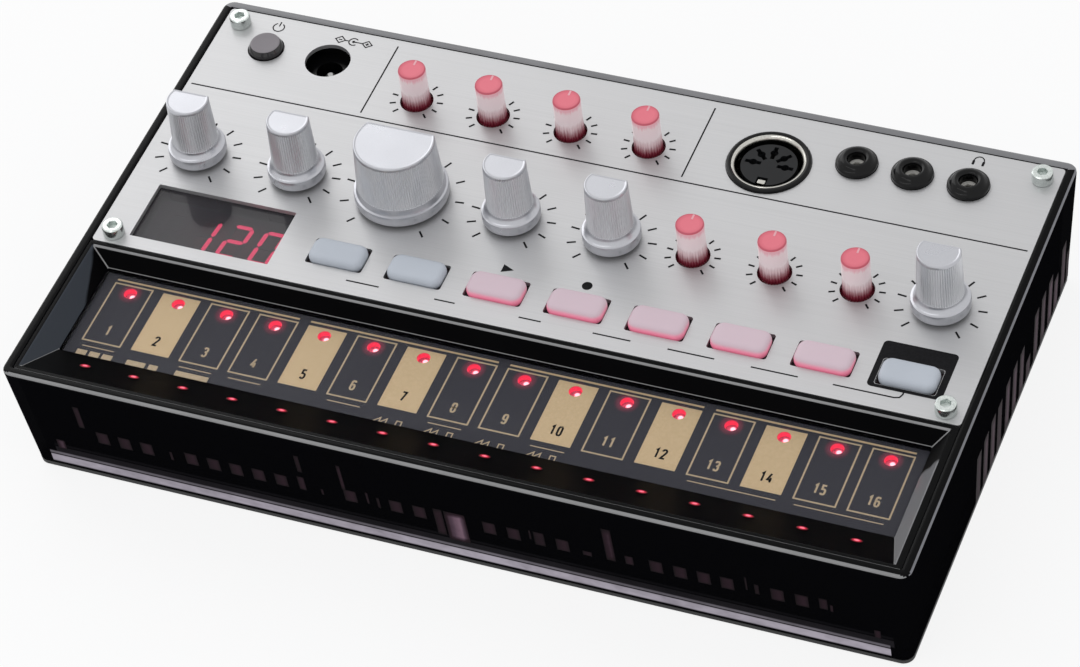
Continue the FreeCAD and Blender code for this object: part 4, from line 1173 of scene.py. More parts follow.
@dataclass
class WallLights:
    """Painted light for the inner light that shows through the smoke walls: the upright vents behind them,
    each a dim emissive field.

    The vents stand about five millimetres apart all round. On the front only their upper ends catch
    light, on the sides they show from the foot up. front_vent is the foot, top, width and glow of the like
    fields at the places in front_full. A row of front_odd is place along the wall, height of its middle,
    width, height and glow, as in lamp, and a row of side is place along the wall, top and glow.
    """

    finishes: Finishes
    proud: float = 0.03
    front_vent: tuple[float, float, float, float] = (12.8, 16.6, 2.7, 0.38)
    front_full: tuple[float, ...] = (-76.6, -71.6, -66.6, -56.6, -51.6, -46.6, -41.6, -36.6, -21.4, -11.5,
                                     -6.4, 8.6, 13.8, 24.2, 43.8, 48.8, 53.7, 58.5, 68.8, 73.8)
    front_odd: tuple[tuple[float, float, float, float, float], ...] = (
        (-80.8, 20.5, 1.3, 7.0, 0.4), (-87.5, 9.0, 1.9, 3.0, 0.7), (-61.2, 14.2, 0.6, 2.8, 0.3),
        (-32.0, 15.3, 1.5, 4.4, 0.48), (-31.6, 22.0, 1.0, 5.5, 0.25), (-27.7, 13.9, 0.5, 1.8, 0.3),
        (-22.5, 20.6, 0.8, 8.0, 0.5), (-17.6, 15.4, 0.5, 3.8, 0.36), (-15.3, 14.6, 0.6, 3.4, 0.2),
        (-2.3, 12.9, 1.9, 8.6, 0.42), (17.4, 15.8, 0.4, 3.0, 0.2), (19.3, 15.0, 2.2, 4.4, 0.3),
        (29.3, 13.8, 1.9, 1.4, 0.34), (34.3, 18.6, 1.9, 10.6, 0.55), (38.2, 14.8, 1.7, 2.8, 0.42),
        (62.5, 16.2, 0.4, 4.2, 0.2), (64.6, 15.0, 0.9, 3.2, 0.22), (78.2, 15.3, 1.7, 3.5, 0.36),
        (79.8, 14.4, 0.6, 2.2, 0.36), (88.7, 9.0, 1.3, 2.6, 0.45))
    lamp: tuple[float, float, float, float, float] = (1.3, 12.3, 4.5, 9.6, 0.95)
    side: tuple[tuple[float, float, float], ...] = (
        (-11.2, 15.4, 0.6), (-6.4, 15.6, 0.8), (-1.6, 15.8, 0.8), (3.0, 15.2, 0.6), (8.5, 15.8, 0.85),
        (13.5, 15.4, 0.85), (18.5, 14.6, 0.8), (23.4, 7.0, 0.7), (28.6, 15.6, 0.8), (33.7, 15.4, 0.8),
        (38.8, 15.0, 1.0), (43.2, 11.0, 0.9), (48.4, 15.4, 0.75), (51.9, 10.0, 0.5))
    side_end: float = 52.8
    side_foot: float = 1.6
    side_width: float = 2.9
    front_share: float = 0.85
    side_share: float = 0.75

    def field(self, face: int, along: float, low: float, high: float, width: float, glow: float) -> Surface:
        """Thin field of painted light on a wall's outer face, fading towards all its edges.

        The field is a grid of upright strips that lie on the wall's draft. The glow is the product of
        two lines of fixed points, one over the width and one over the height.

        Args:
            face: 0 for the front, 1 for the right and -1 for the left.
            along: place of its middle along the wall.
            low: height of its foot.
            high: height of its top.
            width: its width.
            glow: its glow where it is brightest.

        Returns:
            The field as a closed thin solid.
        """
        case, out = SmokeCase(self.finishes), self.proud
        shares, steps = np.array([0.0, 0.2, 0.45, 0.7, 1.0]), np.array([0.0, 0.16, 0.84, 1.0])
        levels = low + steps * (high - low)
        section = [(z, out) for z in levels] + [(high, -0.05), (low, -0.05)]
        edges = [case.case_box(z, -shift) for z, shift in section]
        rings = [[(along + (share - 0.5) * width, box[2], z) if face == 0 else (face * box[1],
            along + (share - 0.5) * width, z) for (z, _), box in zip(section, edges)] for share in shares]
        surface = loft(np.array(rings))
        across = (surface.points[:, 0 if face == 0 else 1] - along) / width + 0.5
        upward = (surface.points[:, 2] - low) / (high - low)
        light = np.interp(across, shares, [0.1, 0.6, 0.85, 1.0, 0.3])
        return replace(surface, glow=glow * (light * np.interp(upward, steps, [0.2, 1, 1, 0.2])))

    def build(self) -> None:
        """Make the fields of the front, of the lamp behind it and of both sides."""
        front = [self.field(0, x, *self.front_vent) for x in self.front_full]
        front += [self.field(0, x, z - tall / 2, z + tall / 2, width, self.front_share * glow)
                  for x, z, width, tall, glow in self.front_odd]
        x, z, width, tall, glow = self.lamp
        front.append(self.field(0, x, z - tall / 2, z + tall / 2, width, glow))
        build_piece("front_wall_lights", gathered(front), [self.finishes.slot_light])
        sides = [self.field(face, y, self.side_foot, top, min(self.side_width, 2 * (self.side_end - y)),
            self.side_share * glow) for face in (-1, 1) for y, top, glow in self.side]
        build_piece("side_wall_lights", gathered(sides), [self.finishes.slot_light])


@dataclass
class RampLights:
    """Sixteen flat red points of painted light in the slope before the keys."""

    finishes: Finishes
    count: int = 16
    pitch: float = 10.97
    first_x: float = -81.25
    place: Pair = (-49.1, 28.17)
    half: Pair = (1.25, 0.75)

    def point(self) -> Surface:
        """Lathe one lens-shaped spot of painted light and stretch it along X.

        Returns:
            The lens about the origin, its edge dim and its heart bright.
        """
        rows = [(0.02, -0.1), (1.0, -0.1), (1.0, 0.0), (0.8, 0.03, 0, 0, 0.35), (0.45, 0.05, 0, 0, 0.8),
                (0.02, 0.06, 0, 0, 1.0)]
        lens = lathe(rows, 24)
        return replace(lens, points=lens.points * np.array([self.half[0], self.half[1], 1.0]))

    def build(self) -> None:
        """Lay the lenses on the slope: each is tipped by it, y and z turned about X."""
        case = SmokeCase(self.finishes)
        rise = extent("control_panel")[1][2] - extent("touch_plate")[1][2]
        tilt = -math.atan2(rise, case.slopes[1])
        c, s = math.cos(tilt), math.sin(tilt)
        turn = np.array([[1.0, 0.0, 0.0], [0.0, c, -s], [0.0, s, c]])
        lens = self.point()
        tipped = replace(lens, points=lens.points @ turn.T)
        y, z = self.place
        lenses = [tipped.moved(self.first_x + number * self.pitch, y, z + 0.02)
                  for number in range(self.count)]
        build_piece("ramp_light_points", gathered(lenses), [self.finishes.point_light],
            crease=60.0)


@dataclass
class PanelPrint:
    """Charcoal print on the panel: scales round the knobs, dividing lines, link lines and icons."""

    finishes: Finishes
    thickness: float = 0.03
    tick_count: int = 11
    tick_step: float = 28.0
    tick_width: float = 0.42
    line_width: float = 0.32
    icon_width: float = 0.26
    scales: tuple[tuple[str, float, float], ...] = (("small", 8.45, 1.9), ("large", 12.32, 1.9),
                                                    ("clear", 5.15, 1.35))
    long_line_back: float = 24.25
    short_line_back: Pair = (22.95, 1.85)
    short_line_aside: Pair = (13.2, -16.15)
    link_front: float = 6.05

    def __post_init__(self) -> None:
        """Set the print's two heights from the panel's top."""
        self.low = extent("control_panel")[1][2] - 0.01
        self.high = self.low + 0.01 + self.thickness

    def line(self, path: Rows, closed: bool = False) -> Surface:
        """Return a thin printed line along a path."""
        return ribbon(path, self.line_width, self.low, self.high, closed)

    def stroke(self, path: Rows, closed: bool = False) -> Surface:
        """Return a line of an icon, finer than the others."""
        return ribbon(path, self.icon_width, self.low, self.high, closed)

    def scale(self, node: str, radius: float, length: float) -> list[Surface]:
        """Ticks round a knob at equal steps, the gap towards the player.

        Args:
            node: the knob's node.
            radius: radius of the middle of the ticks.
            length: length of a tick.

        Returns:
            One strip for each tick.
        """
        x, y = middle(node)
        ticks = []
        for number in range(self.tick_count):
            angle = math.radians((number - (self.tick_count - 1) / 2) * self.tick_step)
            ends = [(x + reach * math.sin(angle), y + reach * math.cos(angle))
                    for reach in (radius - length / 2, radius + length / 2)]
            ticks.append(ribbon(ends, self.tick_width, self.low, self.high))
        return ticks

    def scales_of_knobs(self) -> list[Surface]:
        """Gather the ticks of every knob.

        Returns:
            One strip for each tick.
        """
        sizes = {name: (radius, length) for name, radius, length in self.scales}
        groups = {"small": SilverKnobs.small, "large": ("cutoff",), "clear": GlowKnobs.names}
        return [tick for kind, names in groups.items() for name in names
                for tick in self.scale(name + "_knob", *sizes[kind])]

    def dividers(self) -> list[Surface]:
        """Lay the long line over the panel and the two short ones behind it.

        Returns:
            The three lines.
        """
        panel = footprint("control_panel")
        long_y, short = panel[3] - self.long_line_back, [panel[3] - back for back in self.short_line_back]
        nodes = ("dc_socket", "din_socket_body")
        short_xs = [middle(node)[0] + aside for node, aside in zip(nodes, self.short_line_aside)]
        return [self.line([(panel[0] + 1.0, long_y), (panel[1] - 1.0, long_y)]),
                *(self.line([(x, y) for y in short]) for x in short_xs)]

    def links(self) -> list[Surface]:
        """Lay the lines that link the buttons, with bare places between them.

        Returns:
            One line for each stretch.
        """
        row = middle("play_button")[1] - self.link_front
        spans = ((-37.8, -30.5), (-18.2, -13.7), (0.3, 5.1), (16.3, 24.4), (32.3, 42.2), (49.9, 59.7))
        last = [(67.0, row), (79.6, row), (80.6, row + 0.3), (81.0, row + 1.2), (81.0, row + 1.8)]
        return [self.line([(start, row), (end, row)]) for start, end in spans] + [self.line(last)]

    def function_frame(self) -> Surface:
        """Lay the solid dark field round the function button.

        Returns:
            The field, open over the button.
        """
        x, y = middle("function_button")
        outer = (x - 7.65, x + 7.85, y - 4.35, y + 8.15)
        inner = centred(x, y, 12.75, 7.15)
        boxes, heights = [outer, outer, inner, inner], [self.low, self.high, self.high, self.low]
        return loft(rounded_rings(boxes, heights, [1.0, 1.0, 0.6, 0.6]), looped=True)

    def icons(self) -> list[Surface]:
        """Draw the play triangle, record dot, power mark, polarity mark and headphone mark.

        Returns:
            Their strokes and fields.
        """
        play, record = middle("play_button"), middle("record_button")
        power, dc = middle("power_button"), middle("dc_socket")
        phones = middle("phones_jack")
        marks = [slab([(play[0] - 1.0, play[1] + 4.75), (play[0] + 1.5, play[1] + 5.85),
            (play[0] - 1.0, play[1] + 6.95)], self.low, self.high),
            disc(record[0], record[1] + 5.85, 1.1, self.low, self.high)]
        sweep = np.radians(np.linspace(120, 420, 24))
        mark_y = power[1] + 6.9
        marks.append(self.stroke(np.column_stack([power[0] + 1.25 * np.cos(sweep),
            mark_y + 1.25 * np.sin(sweep)])))
        marks.append(self.stroke([(power[0], mark_y + 0.3), (power[0], mark_y + 1.7)]))
        mark_x, circle = dc[0] + 3.2, np.radians(np.arange(0, 360, 15))
        ring = np.column_stack([np.cos(circle), np.sin(circle)])
        marks.append(self.stroke((ring * 1.05 + [mark_x, mark_y])[3:-2]))
        diamond, signs = np.array([(1.15, 0.0), (0.0, 1.0), (-1.15, 0.0), (0.0, -1.0)]), (-3.1, 3.2)
        for offset in signs:
            marks.append(self.stroke(diamond + [mark_x + offset, mark_y], closed=True))
        marks.append(disc(mark_x, mark_y, 0.35, self.low, self.high))
        for start, end in ((-1.95, -1.05), (0.35, 2.05)):
            marks.append(self.stroke([(mark_x + start, mark_y), (mark_x + end, mark_y)]))
        for offset in signs:
            marks.append(self.stroke([(mark_x + offset - 0.4, mark_y), (mark_x + offset + 0.4, mark_y)]))
        marks.append(self.stroke([(mark_x + signs[1], mark_y - 0.4), (mark_x + signs[1], mark_y + 0.4)]))
        band = np.radians(np.linspace(0, 180, 18))
        top = phones[1] + 7.3
        marks.append(self.stroke(np.column_stack([phones[0] + 1.1 * np.cos(band),
            top + 1.35 * np.sin(band)])))
        for side in (-1, 1):
            cup = centred(phones[0] + side * 1.05, top - 0.5, 0.55, 1.3)
            marks.append(soft_block(cup, self.low, self.high, 0.25, 0.01))
        return marks

    def build(self) -> None:
        """Make the whole print as one piece."""
        surfaces = self.scales_of_knobs() + self.dividers() + self.links() + [self.function_frame()]
        build_piece("panel_print", gathered(surfaces + self.icons()), [self.finishes.ink])


@dataclass
class SilverKnobs:
    """Turned aluminium knobs: skirt with a bevel, flare, finely ribbed stem, flat towards the back."""

    finishes: Finishes
    small: ClassVar[tuple[str, ...]] = ("octave", "peak", "lfo_rate", "lfo_depth", "volume")
    rib_pitch: float = 0.52
    rib_depth: float = 0.17
    small_size: tuple[float, float, float, float] = (6.15, 4.85, 4.5, 2.2)
    large_size: tuple[float, float, float, float] = (10.0, 9.15, 8.5, 4.0)

    def knob(self, skirt: float, stem: float, crown: float, flat: float) -> Surface:
        """Lathe one knob about the origin.

        The flare follows r = stem + (shoulder - stem) (1 - s) squared, and the stem narrows evenly from
        its foot to its crown with ribs all round, over which the polished bevel stands.

        Args:
            skirt: radius of the skirt.
            stem: radius of the stem's foot.
            crown: radius of its top.
            flat: distance of the flat from the axis.

        Returns:
            The knob's surface, from the height of its underside to its top.
        """
        low, high = extent("octave_knob")
        base, top = low[2], high[2]
        band, foot = base + 2.5, base + 3.9
        shoulder = skirt - 0.55
        rows = [(0.0, base), (skirt - 0.5, base), (skirt - 0.12, base + 0.12), (skirt, base + 0.45),
                (skirt, band - 0.5), (skirt - 0.12, band - 0.12), (shoulder, band)]
        for s in np.linspace(0.15, 1.0, 6):
            rows.append((stem + (shoulder - stem) * (1 - s) ** 2, band + (foot - band) * s))
        neck = top - 0.75
        rows.append((stem, foot, 0.0, flat))
        for s in (0.0, 0.02, 0.35, 0.7, 0.985, 1.0):
            depth = 0.0 if s == 0.0 else self.rib_depth
            rows.append((stem + (crown - stem) * s, foot + (neck - foot) * s, depth, flat))
        lip = ((-0.02, neck + 0.03), (0.0, neck + 0.2), (0.05, top - 0.2), (0.16, top - 0.05), (0.28, top),
               (0.42, top - 0.02), (0.52, top - 0.07), (0.58, top - 0.08), (0.66, top - 0.08))
        rows += [(crown - inset, height, 0.0, flat - inset) for inset, height in lip]
        rows += [(crown * 0.45, top - 0.08, 0.0, flat * 0.45), (0.01, top - 0.08)]
        ribs = int(2 * math.pi * stem / self.rib_pitch)
        return lathe(rows, ribs * 6, ribs)

    def build(self) -> None:
        """Make the five small knobs and the large one, their ribbed faces in a paler finish of their own that
        paints the light caught between the ribs.
        """
        low, high = extent("octave_knob")

        def ribbed(centres: np.ndarray, normals: np.ndarray) -> np.ndarray:
            """Return 1 for the steep faces of the stem below its bevel."""
            between = (centres[:, 2] > low[2] + 3.95) & (centres[:, 2] < high[2] - 0.9)
            return between & (np.abs(normals[:, 2]) < 0.5)

        sizes = [(name, self.small_size) for name in self.small] + [("cutoff", self.large_size)]
        for name, size in sizes:
            x, y = middle(name + "_knob")
            surface = self.knob(*size).moved(x, y)
            build_piece(name + "_silver_knob", surface, [self.finishes.knob, self.finishes.knob_ribs],
                name + "_dial", [name + "_knob"], 30.0, ribbed)


@dataclass
class GlowKnobs:
    """Small frosted knobs, ribbed at the foot, with a coral top of painted glow and a well of painted red
    glow round each.
    """

    finishes: Finishes
    names: ClassVar[tuple[str, ...]] = ("tempo", "attack", "decay", "sweep", "pitch_1", "pitch_2", "pitch_3")
    foot_radius: float = 3.05
    top_radius: float = 2.95
    ribs: int = 30
    rib_depth: float = 0.2
    rib_share: float = 0.42
    well_radius: float = 3.58
    well_depth: float = 3.2

    def knob(self) -> Surface:
        """Lathe one knob about the origin, its foot ribbed up to a share of its height.

        Returns:
            The knob's surface, its top marked with glow along the edge.
        """
        low, high = extent("tempo_knob")
        panel, top = extent("control_panel")[1][2], high[2]
        rib_top = panel + (top - panel) * self.rib_share
        foot = panel - 1.6
        radius, crown, depth = self.foot_radius, self.top_radius, self.rib_depth
        rows = [(0.0, low[2]), (1.5, low[2]), (1.5, foot), (radius - 0.1, foot), (radius, foot + 0.1),
            (radius, panel - 0.6), (radius, panel - 0.5, depth), (radius - 0.03, panel + 2.0, depth),
            (radius - 0.08, rib_top - 0.5, depth), (radius - 0.12, rib_top, 0.0),
            (crown + 0.02, rib_top + 0.4), (crown, top - 0.35), (crown - 0.05, top - 0.12, 0.0, 0.0, 1.0),
            (crown - 0.2, top, 0.0, 0.0, 1.0), (crown - 0.55, top - 0.04, 0.0, 0.0, 0.4),
            (crown * 0.6, top - 0.06), (0.01, top - 0.06)]
        return lathe(rows, self.ribs * 6, self.ribs)

    def notch(self, x: float, y: float) -> Surface:
        """Return the pale pointer line on a knob's top, towards the back."""
        top = extent("tempo_knob")[1][2]
        return ribbon([(x, y + 1.3), (x, y + self.top_radius - 0.2)], 0.4, top - 0.2, top - 0.01)

    def well(self) -> Surface:
        """Lathe the cup of painted red glow that shows between a knob and the panel.

        Returns:
            The cup about the origin, brightest at its floor.
        """
        low = extent("control_panel")[0][2]
        floor, radius = low - self.well_depth, self.well_radius
        rows = [(1.8, floor, 0, 0, 1.0), (radius, floor, 0, 0, 0.9), (radius + 0.02, low - 0.02, 0, 0, 0.2),
                (radius + 0.6, low - 0.02), (radius + 0.6, floor - 0.6), (1.8, floor - 0.6)]
        return lathe(rows, 48, looped=True)

    def build(self) -> None:
        """Make the seven knobs, their pointer lines and the wells below them."""
        top = extent("tempo_knob")[1][2]

        def flat_top(centres: np.ndarray, normals: np.ndarray) -> np.ndarray:
            """Return 1 for the faces of the top disc."""
            return centres[:, 2] > top - 0.45

        wells = []
        for name in self.names:
            x, y = middle(name + "_knob")
            build_piece(name + "_frosted_knob", self.knob().moved(x, y),
                [self.finishes.glow_side, self.finishes.glow_top], name + "_dial", [name + "_knob"],
                30.0, flat_top)
            build_piece(name + "_pointer", self.notch(x, y), [self.finishes.pointer], name + "_dial")
            wells.append(self.well().moved(x, y))
        build_piece("glow_wells", gathered(wells), [self.finishes.glow_well])


@dataclass
class RubberButtons:
    """Eight silicone caps with soft edges; five carry a painted pink glow for their light from below."""

    finishes: Finishes
    lights: tuple[tuple[str, Light], ...] = (
        ("memory", Light.OFF), ("step", Light.OFF), ("play", Light.ON), ("record", Light.ON),
        ("mute_1", Light.ON), ("mute_2", Light.ON), ("mute_3", Light.ON), ("function", Light.OFF))
    width: float = 12.0
    depth: float = 6.4
    corner: float = 2.0
    edge: float = 1.1

    def lit_from_below(self, cap: Surface, middle_y: float, top: float) -> Surface:
        """Paint light on a cap's walls: the painted glow falls upwards to nothing at the top, and from its
        front to its back.

        Args:
            cap: the cap in its place.
            middle_y: y of its middle.
            top: height of its top.

        Returns:
            The cap with its glow.
        """
        wall = np.clip((top - 0.25 - cap.points[:, 2]) / 1.1, 0.0, 1.0)
        front = np.interp((cap.points[:, 1] - middle_y) / self.depth, [-0.5, -0.2, 0.5], [1.0, 0.85, 0.3])
        return replace(cap, glow=wall * front)

    def build(self) -> None:
        """Make every cap, with its flange and stem below the panel, these two in painted shade."""
        panel_low = extent("control_panel")[0][2]

        def hidden(centres: np.ndarray, normals: np.ndarray) -> np.ndarray:
            """Return 1 for the faces of the flange and stem, which get the painted shade."""
            return centres[:, 2] <= panel_low + 0.01

        for name, light in self.lights:
            node = name + "_button"
            low, high = extent(node)
            x, y = middle(node)
            cap = soft_block(centred(x, y, self.width, self.depth), panel_low - 0.4, high[2] - 0.08,
                self.corner, self.edge, 0.08)
            cap = self.lit_from_below(cap, y, high[2])
            flange = soft_block(centred(x, y, self.width + 2.0, self.depth + 2.0), panel_low - 0.8, panel_low,
                0.8, 0.15)
            stem = soft_block(centred(x, y, 4.0, 4.0), low[2], panel_low - 0.6, 0.5, 0.2)
            finish = self.finishes.lit_rubber if light is Light.ON else self.finishes.grey_rubber
            flange, stem = (replace(part, glow=part.glow * 0.0) for part in (flange, stem))
            build_piece(name + "_cap", gathered([cap, flange, stem]), [finish, self.finishes.dark_rubber],
                name + "_key", [node], 40.0, hidden)


@dataclass
class PowerButton:
    """Round grey push cap with a dark chamfer and a shallow dish."""

    finishes: Finishes
    radius: float = 3.7

    def build(self) -> None:
        """Lathe the cap, its flange and its stem; its chamfer is polished."""
        low, high = extent("power_button")
        panel_low, top, r = extent("control_panel")[0][2], high[2], self.radius
        rows = [(0.0, low[2]), (1.5, low[2]), (1.5, panel_low - 1.0), (4.8, panel_low - 1.0),
            (4.8, panel_low - 0.02), (r, panel_low - 0.02), (r, top - 0.98), (r - 0.06, top - 0.86),
            (r - 0.44, top - 0.1), (r - 0.5, top - 0.02), (r - 0.56, top), (r - 1.0, top - 0.03),
            (r * 0.4, top - 0.08), (0.01, top - 0.08)]
        x, y = middle("power_button")

        def chamfer(centres: np.ndarray, normals: np.ndarray) -> np.ndarray:
            """Return 1 for the faces between the cap's side and its top."""
            return (normals[:, 2] > -0.5) & (normals[:, 2] < 0.85) & (centres[:, 2] > panel_low)

        build_piece("power_cap", lathe(rows, 56).moved(x, y),
            [self.finishes.power_cap, self.finishes.power_rim], "power_key", ["power_button"],
            choose=chamfer)


@dataclass
class Sockets:
    """Round five-pin socket, direct-current socket and three 3.5 mm sockets."""

    finishes: Finishes
    outer: float = 8.95
    shield: float = 7.85
    shield_wall: float = 0.6
    jacks: ClassVar[tuple[str, ...]] = ("sync_in", "sync_out", "phones")
    bore: float = 1.8
    bushing: float = 4.4

    def round_socket(self) -> None:
        """Lathe the black cup with its rolled lip and the bright ring inside it."""
        low, high = extent("din_socket_body")
        top, r, s = high[2], self.outer, self.shield
        x, y = middle("din_socket_body")
        cup = [(0.0, low[2]), (r - 0.3, low[2]), (r, low[2] + 0.3), (r, top - 0.45), (r - 0.12, top - 0.14),
               (r - 0.4, top), (s + 0.35, top), (s + 0.08, top - 0.1), (s, top - 0.35), (s, low[2] + 1.5),
               (0.01, low[2] + 1.5)]
        build_piece("round_socket_cup", lathe(cup, 72).moved(x, y), [self.finishes.socket],
            replaced=["din_socket_body"])
        inner, floor = s - self.shield_wall, low[2] + 1.5
        ring = [(s - 0.02, floor), (s - 0.02, top - 0.1), (s - 0.1, top - 0.03), (s - 0.25, top - 0.03),
            (s - 0.55, top - 0.22), (inner - 0.2, top - 0.7), (inner - 0.25, top - 1.5), (inner, top - 2.4),
            (inner, floor)]
        build_piece("round_socket_ring", lathe(ring, 72, looped=True).moved(x, y), [self.finishes.nickel],
            replaced=["din_socket_shield"])
        core_low, core_high = extent("din_insulator")
        tab = soft_block(centred(x, core_low[1] + 0.9, 1.7, 1.1), core_high[2] - 3.0, core_high[2] - 0.15,
            0.2, 0.12)
        build_piece("round_socket_tab", tab, [self.finishes.nickel])

    def jack(self, name: str) -> None:
        """Lathe one 3.5 mm bushing over its block, with the bright sleeve down its bore.

        Args:
            name: name of the socket.
        """
        low, high = extent(name + "_jack")
        x, y = middle(name + "_jack")
        top, panel_low = high[2], extent("control_panel")[0][2]
        shoulder, bore, outer = top - 1.2, self.bore, self.bushing
        rows = [(bore, top - 0.75), (1.88, top - 0.45), (2.1, top - 0.18), (2.4, top - 0.03), (2.65, top),
            (3.0, top - 0.08), (3.35, top - 0.3), (3.7, shoulder + 0.45), (4.0, shoulder + 0.12),
            (4.3, shoulder + 0.02), (outer, shoulder - 0.12), (outer, panel_low - 0.3),
            (outer, panel_low - 0.6), (bore, panel_low - 0.6)]
        bush = lathe(rows, 56, looped=True).moved(x, y)
        block = pierced_plate(footprint(name + "_jack"), (x, y), bore, low[2], panel_low - 0.4)
        build_piece(name + "_bushing", gathered([bush, block]), [self.finishes.socket],
            replaced=[name + "_jack"])
        sleeve = lathe([(1.795, top - 5.0), (1.795, top - 2.5), (1.7, top - 2.45), (1.05, top - 2.55),
            (0.95, top - 2.7), (0.95, top - 5.0)], 40, looped=True).moved(x, y)
        build_piece(name + "_sleeve", sleeve, [self.finishes.spring])

    def build(self) -> None:
        """Make the round socket and the three small ones."""
        self.round_socket()
        for name in self.jacks:
            self.jack(name)


@dataclass
class Display:
    """Four seven-segment digits behind a smoke window, the last three lit."""

    finishes: Finishes
    digit_xs: tuple[float, ...] = (-81.4, -74.1, -66.8, -59.5)
    digit_y: float = -6.9
    half_x: float = 2.0
    half_y: float = 4.35
    thickness: float = 0.9
    slant: float = 0.09
    face: float = 26.2
    shown: tuple[str, ...] = ("", "bc", "abged", "abcdef")

    def segment(self, name: str) -> Surface:
        """Pointed bar of one segment about the digit's middle.

        Args:
            name: letter of the segment, from a at the top, clockwise, to g in the middle.

        Returns:
            The bar as a thin slab of six corners.
        """
        hx, hy, t = self.half_x, self.half_y, self.thickness / 2
        ends = {"a": ((-hx, hy), (hx, hy)), "b": ((hx, hy), (hx, 0)), "c": ((hx, 0), (hx, -hy)),
            "d": ((-hx, -hy), (hx, -hy)), "e": ((-hx, 0), (-hx, -hy)), "f": ((-hx, hy), (-hx, 0)),
            "g": ((-hx, 0), (hx, 0))}[name]
        start, end = np.array(ends[0], float), np.array(ends[1], float)
        along = (end - start) / np.linalg.norm(end - start)
        side = np.array([-along[1], along[0]]) * t
        start, end = start + along * 0.12, end - along * 0.12
        outline = [start, start + along * t + side, end - along * t + side, end, end - along * t - side,
                   start + along * t - side]
        return slab(outline, self.face, self.face + 0.1)

    def build(self) -> None:
        """Make the module, its lit segments and its dark ones."""
        floor = extent("display_module")[0][2]
        body = soft_block(footprint("display_module"), floor, self.face, 0.4, 0.15)
        build_piece("digit_module", body, [self.finishes.digit_face], replaced=["display_module"])
        lit, dark = [], []
        for x, shown in zip(self.digit_xs, self.shown):
            for name in "abcdefg":
                bar = self.segment(name).leaned(self.slant).moved(x, self.digit_y)
                (lit if name in shown else dark).append(bar)
        build_piece("segments_lit", gathered(lit), [self.finishes.digit_lit])
        build_piece("segments_unlit", gathered(dark), [self.finishes.digit_off])


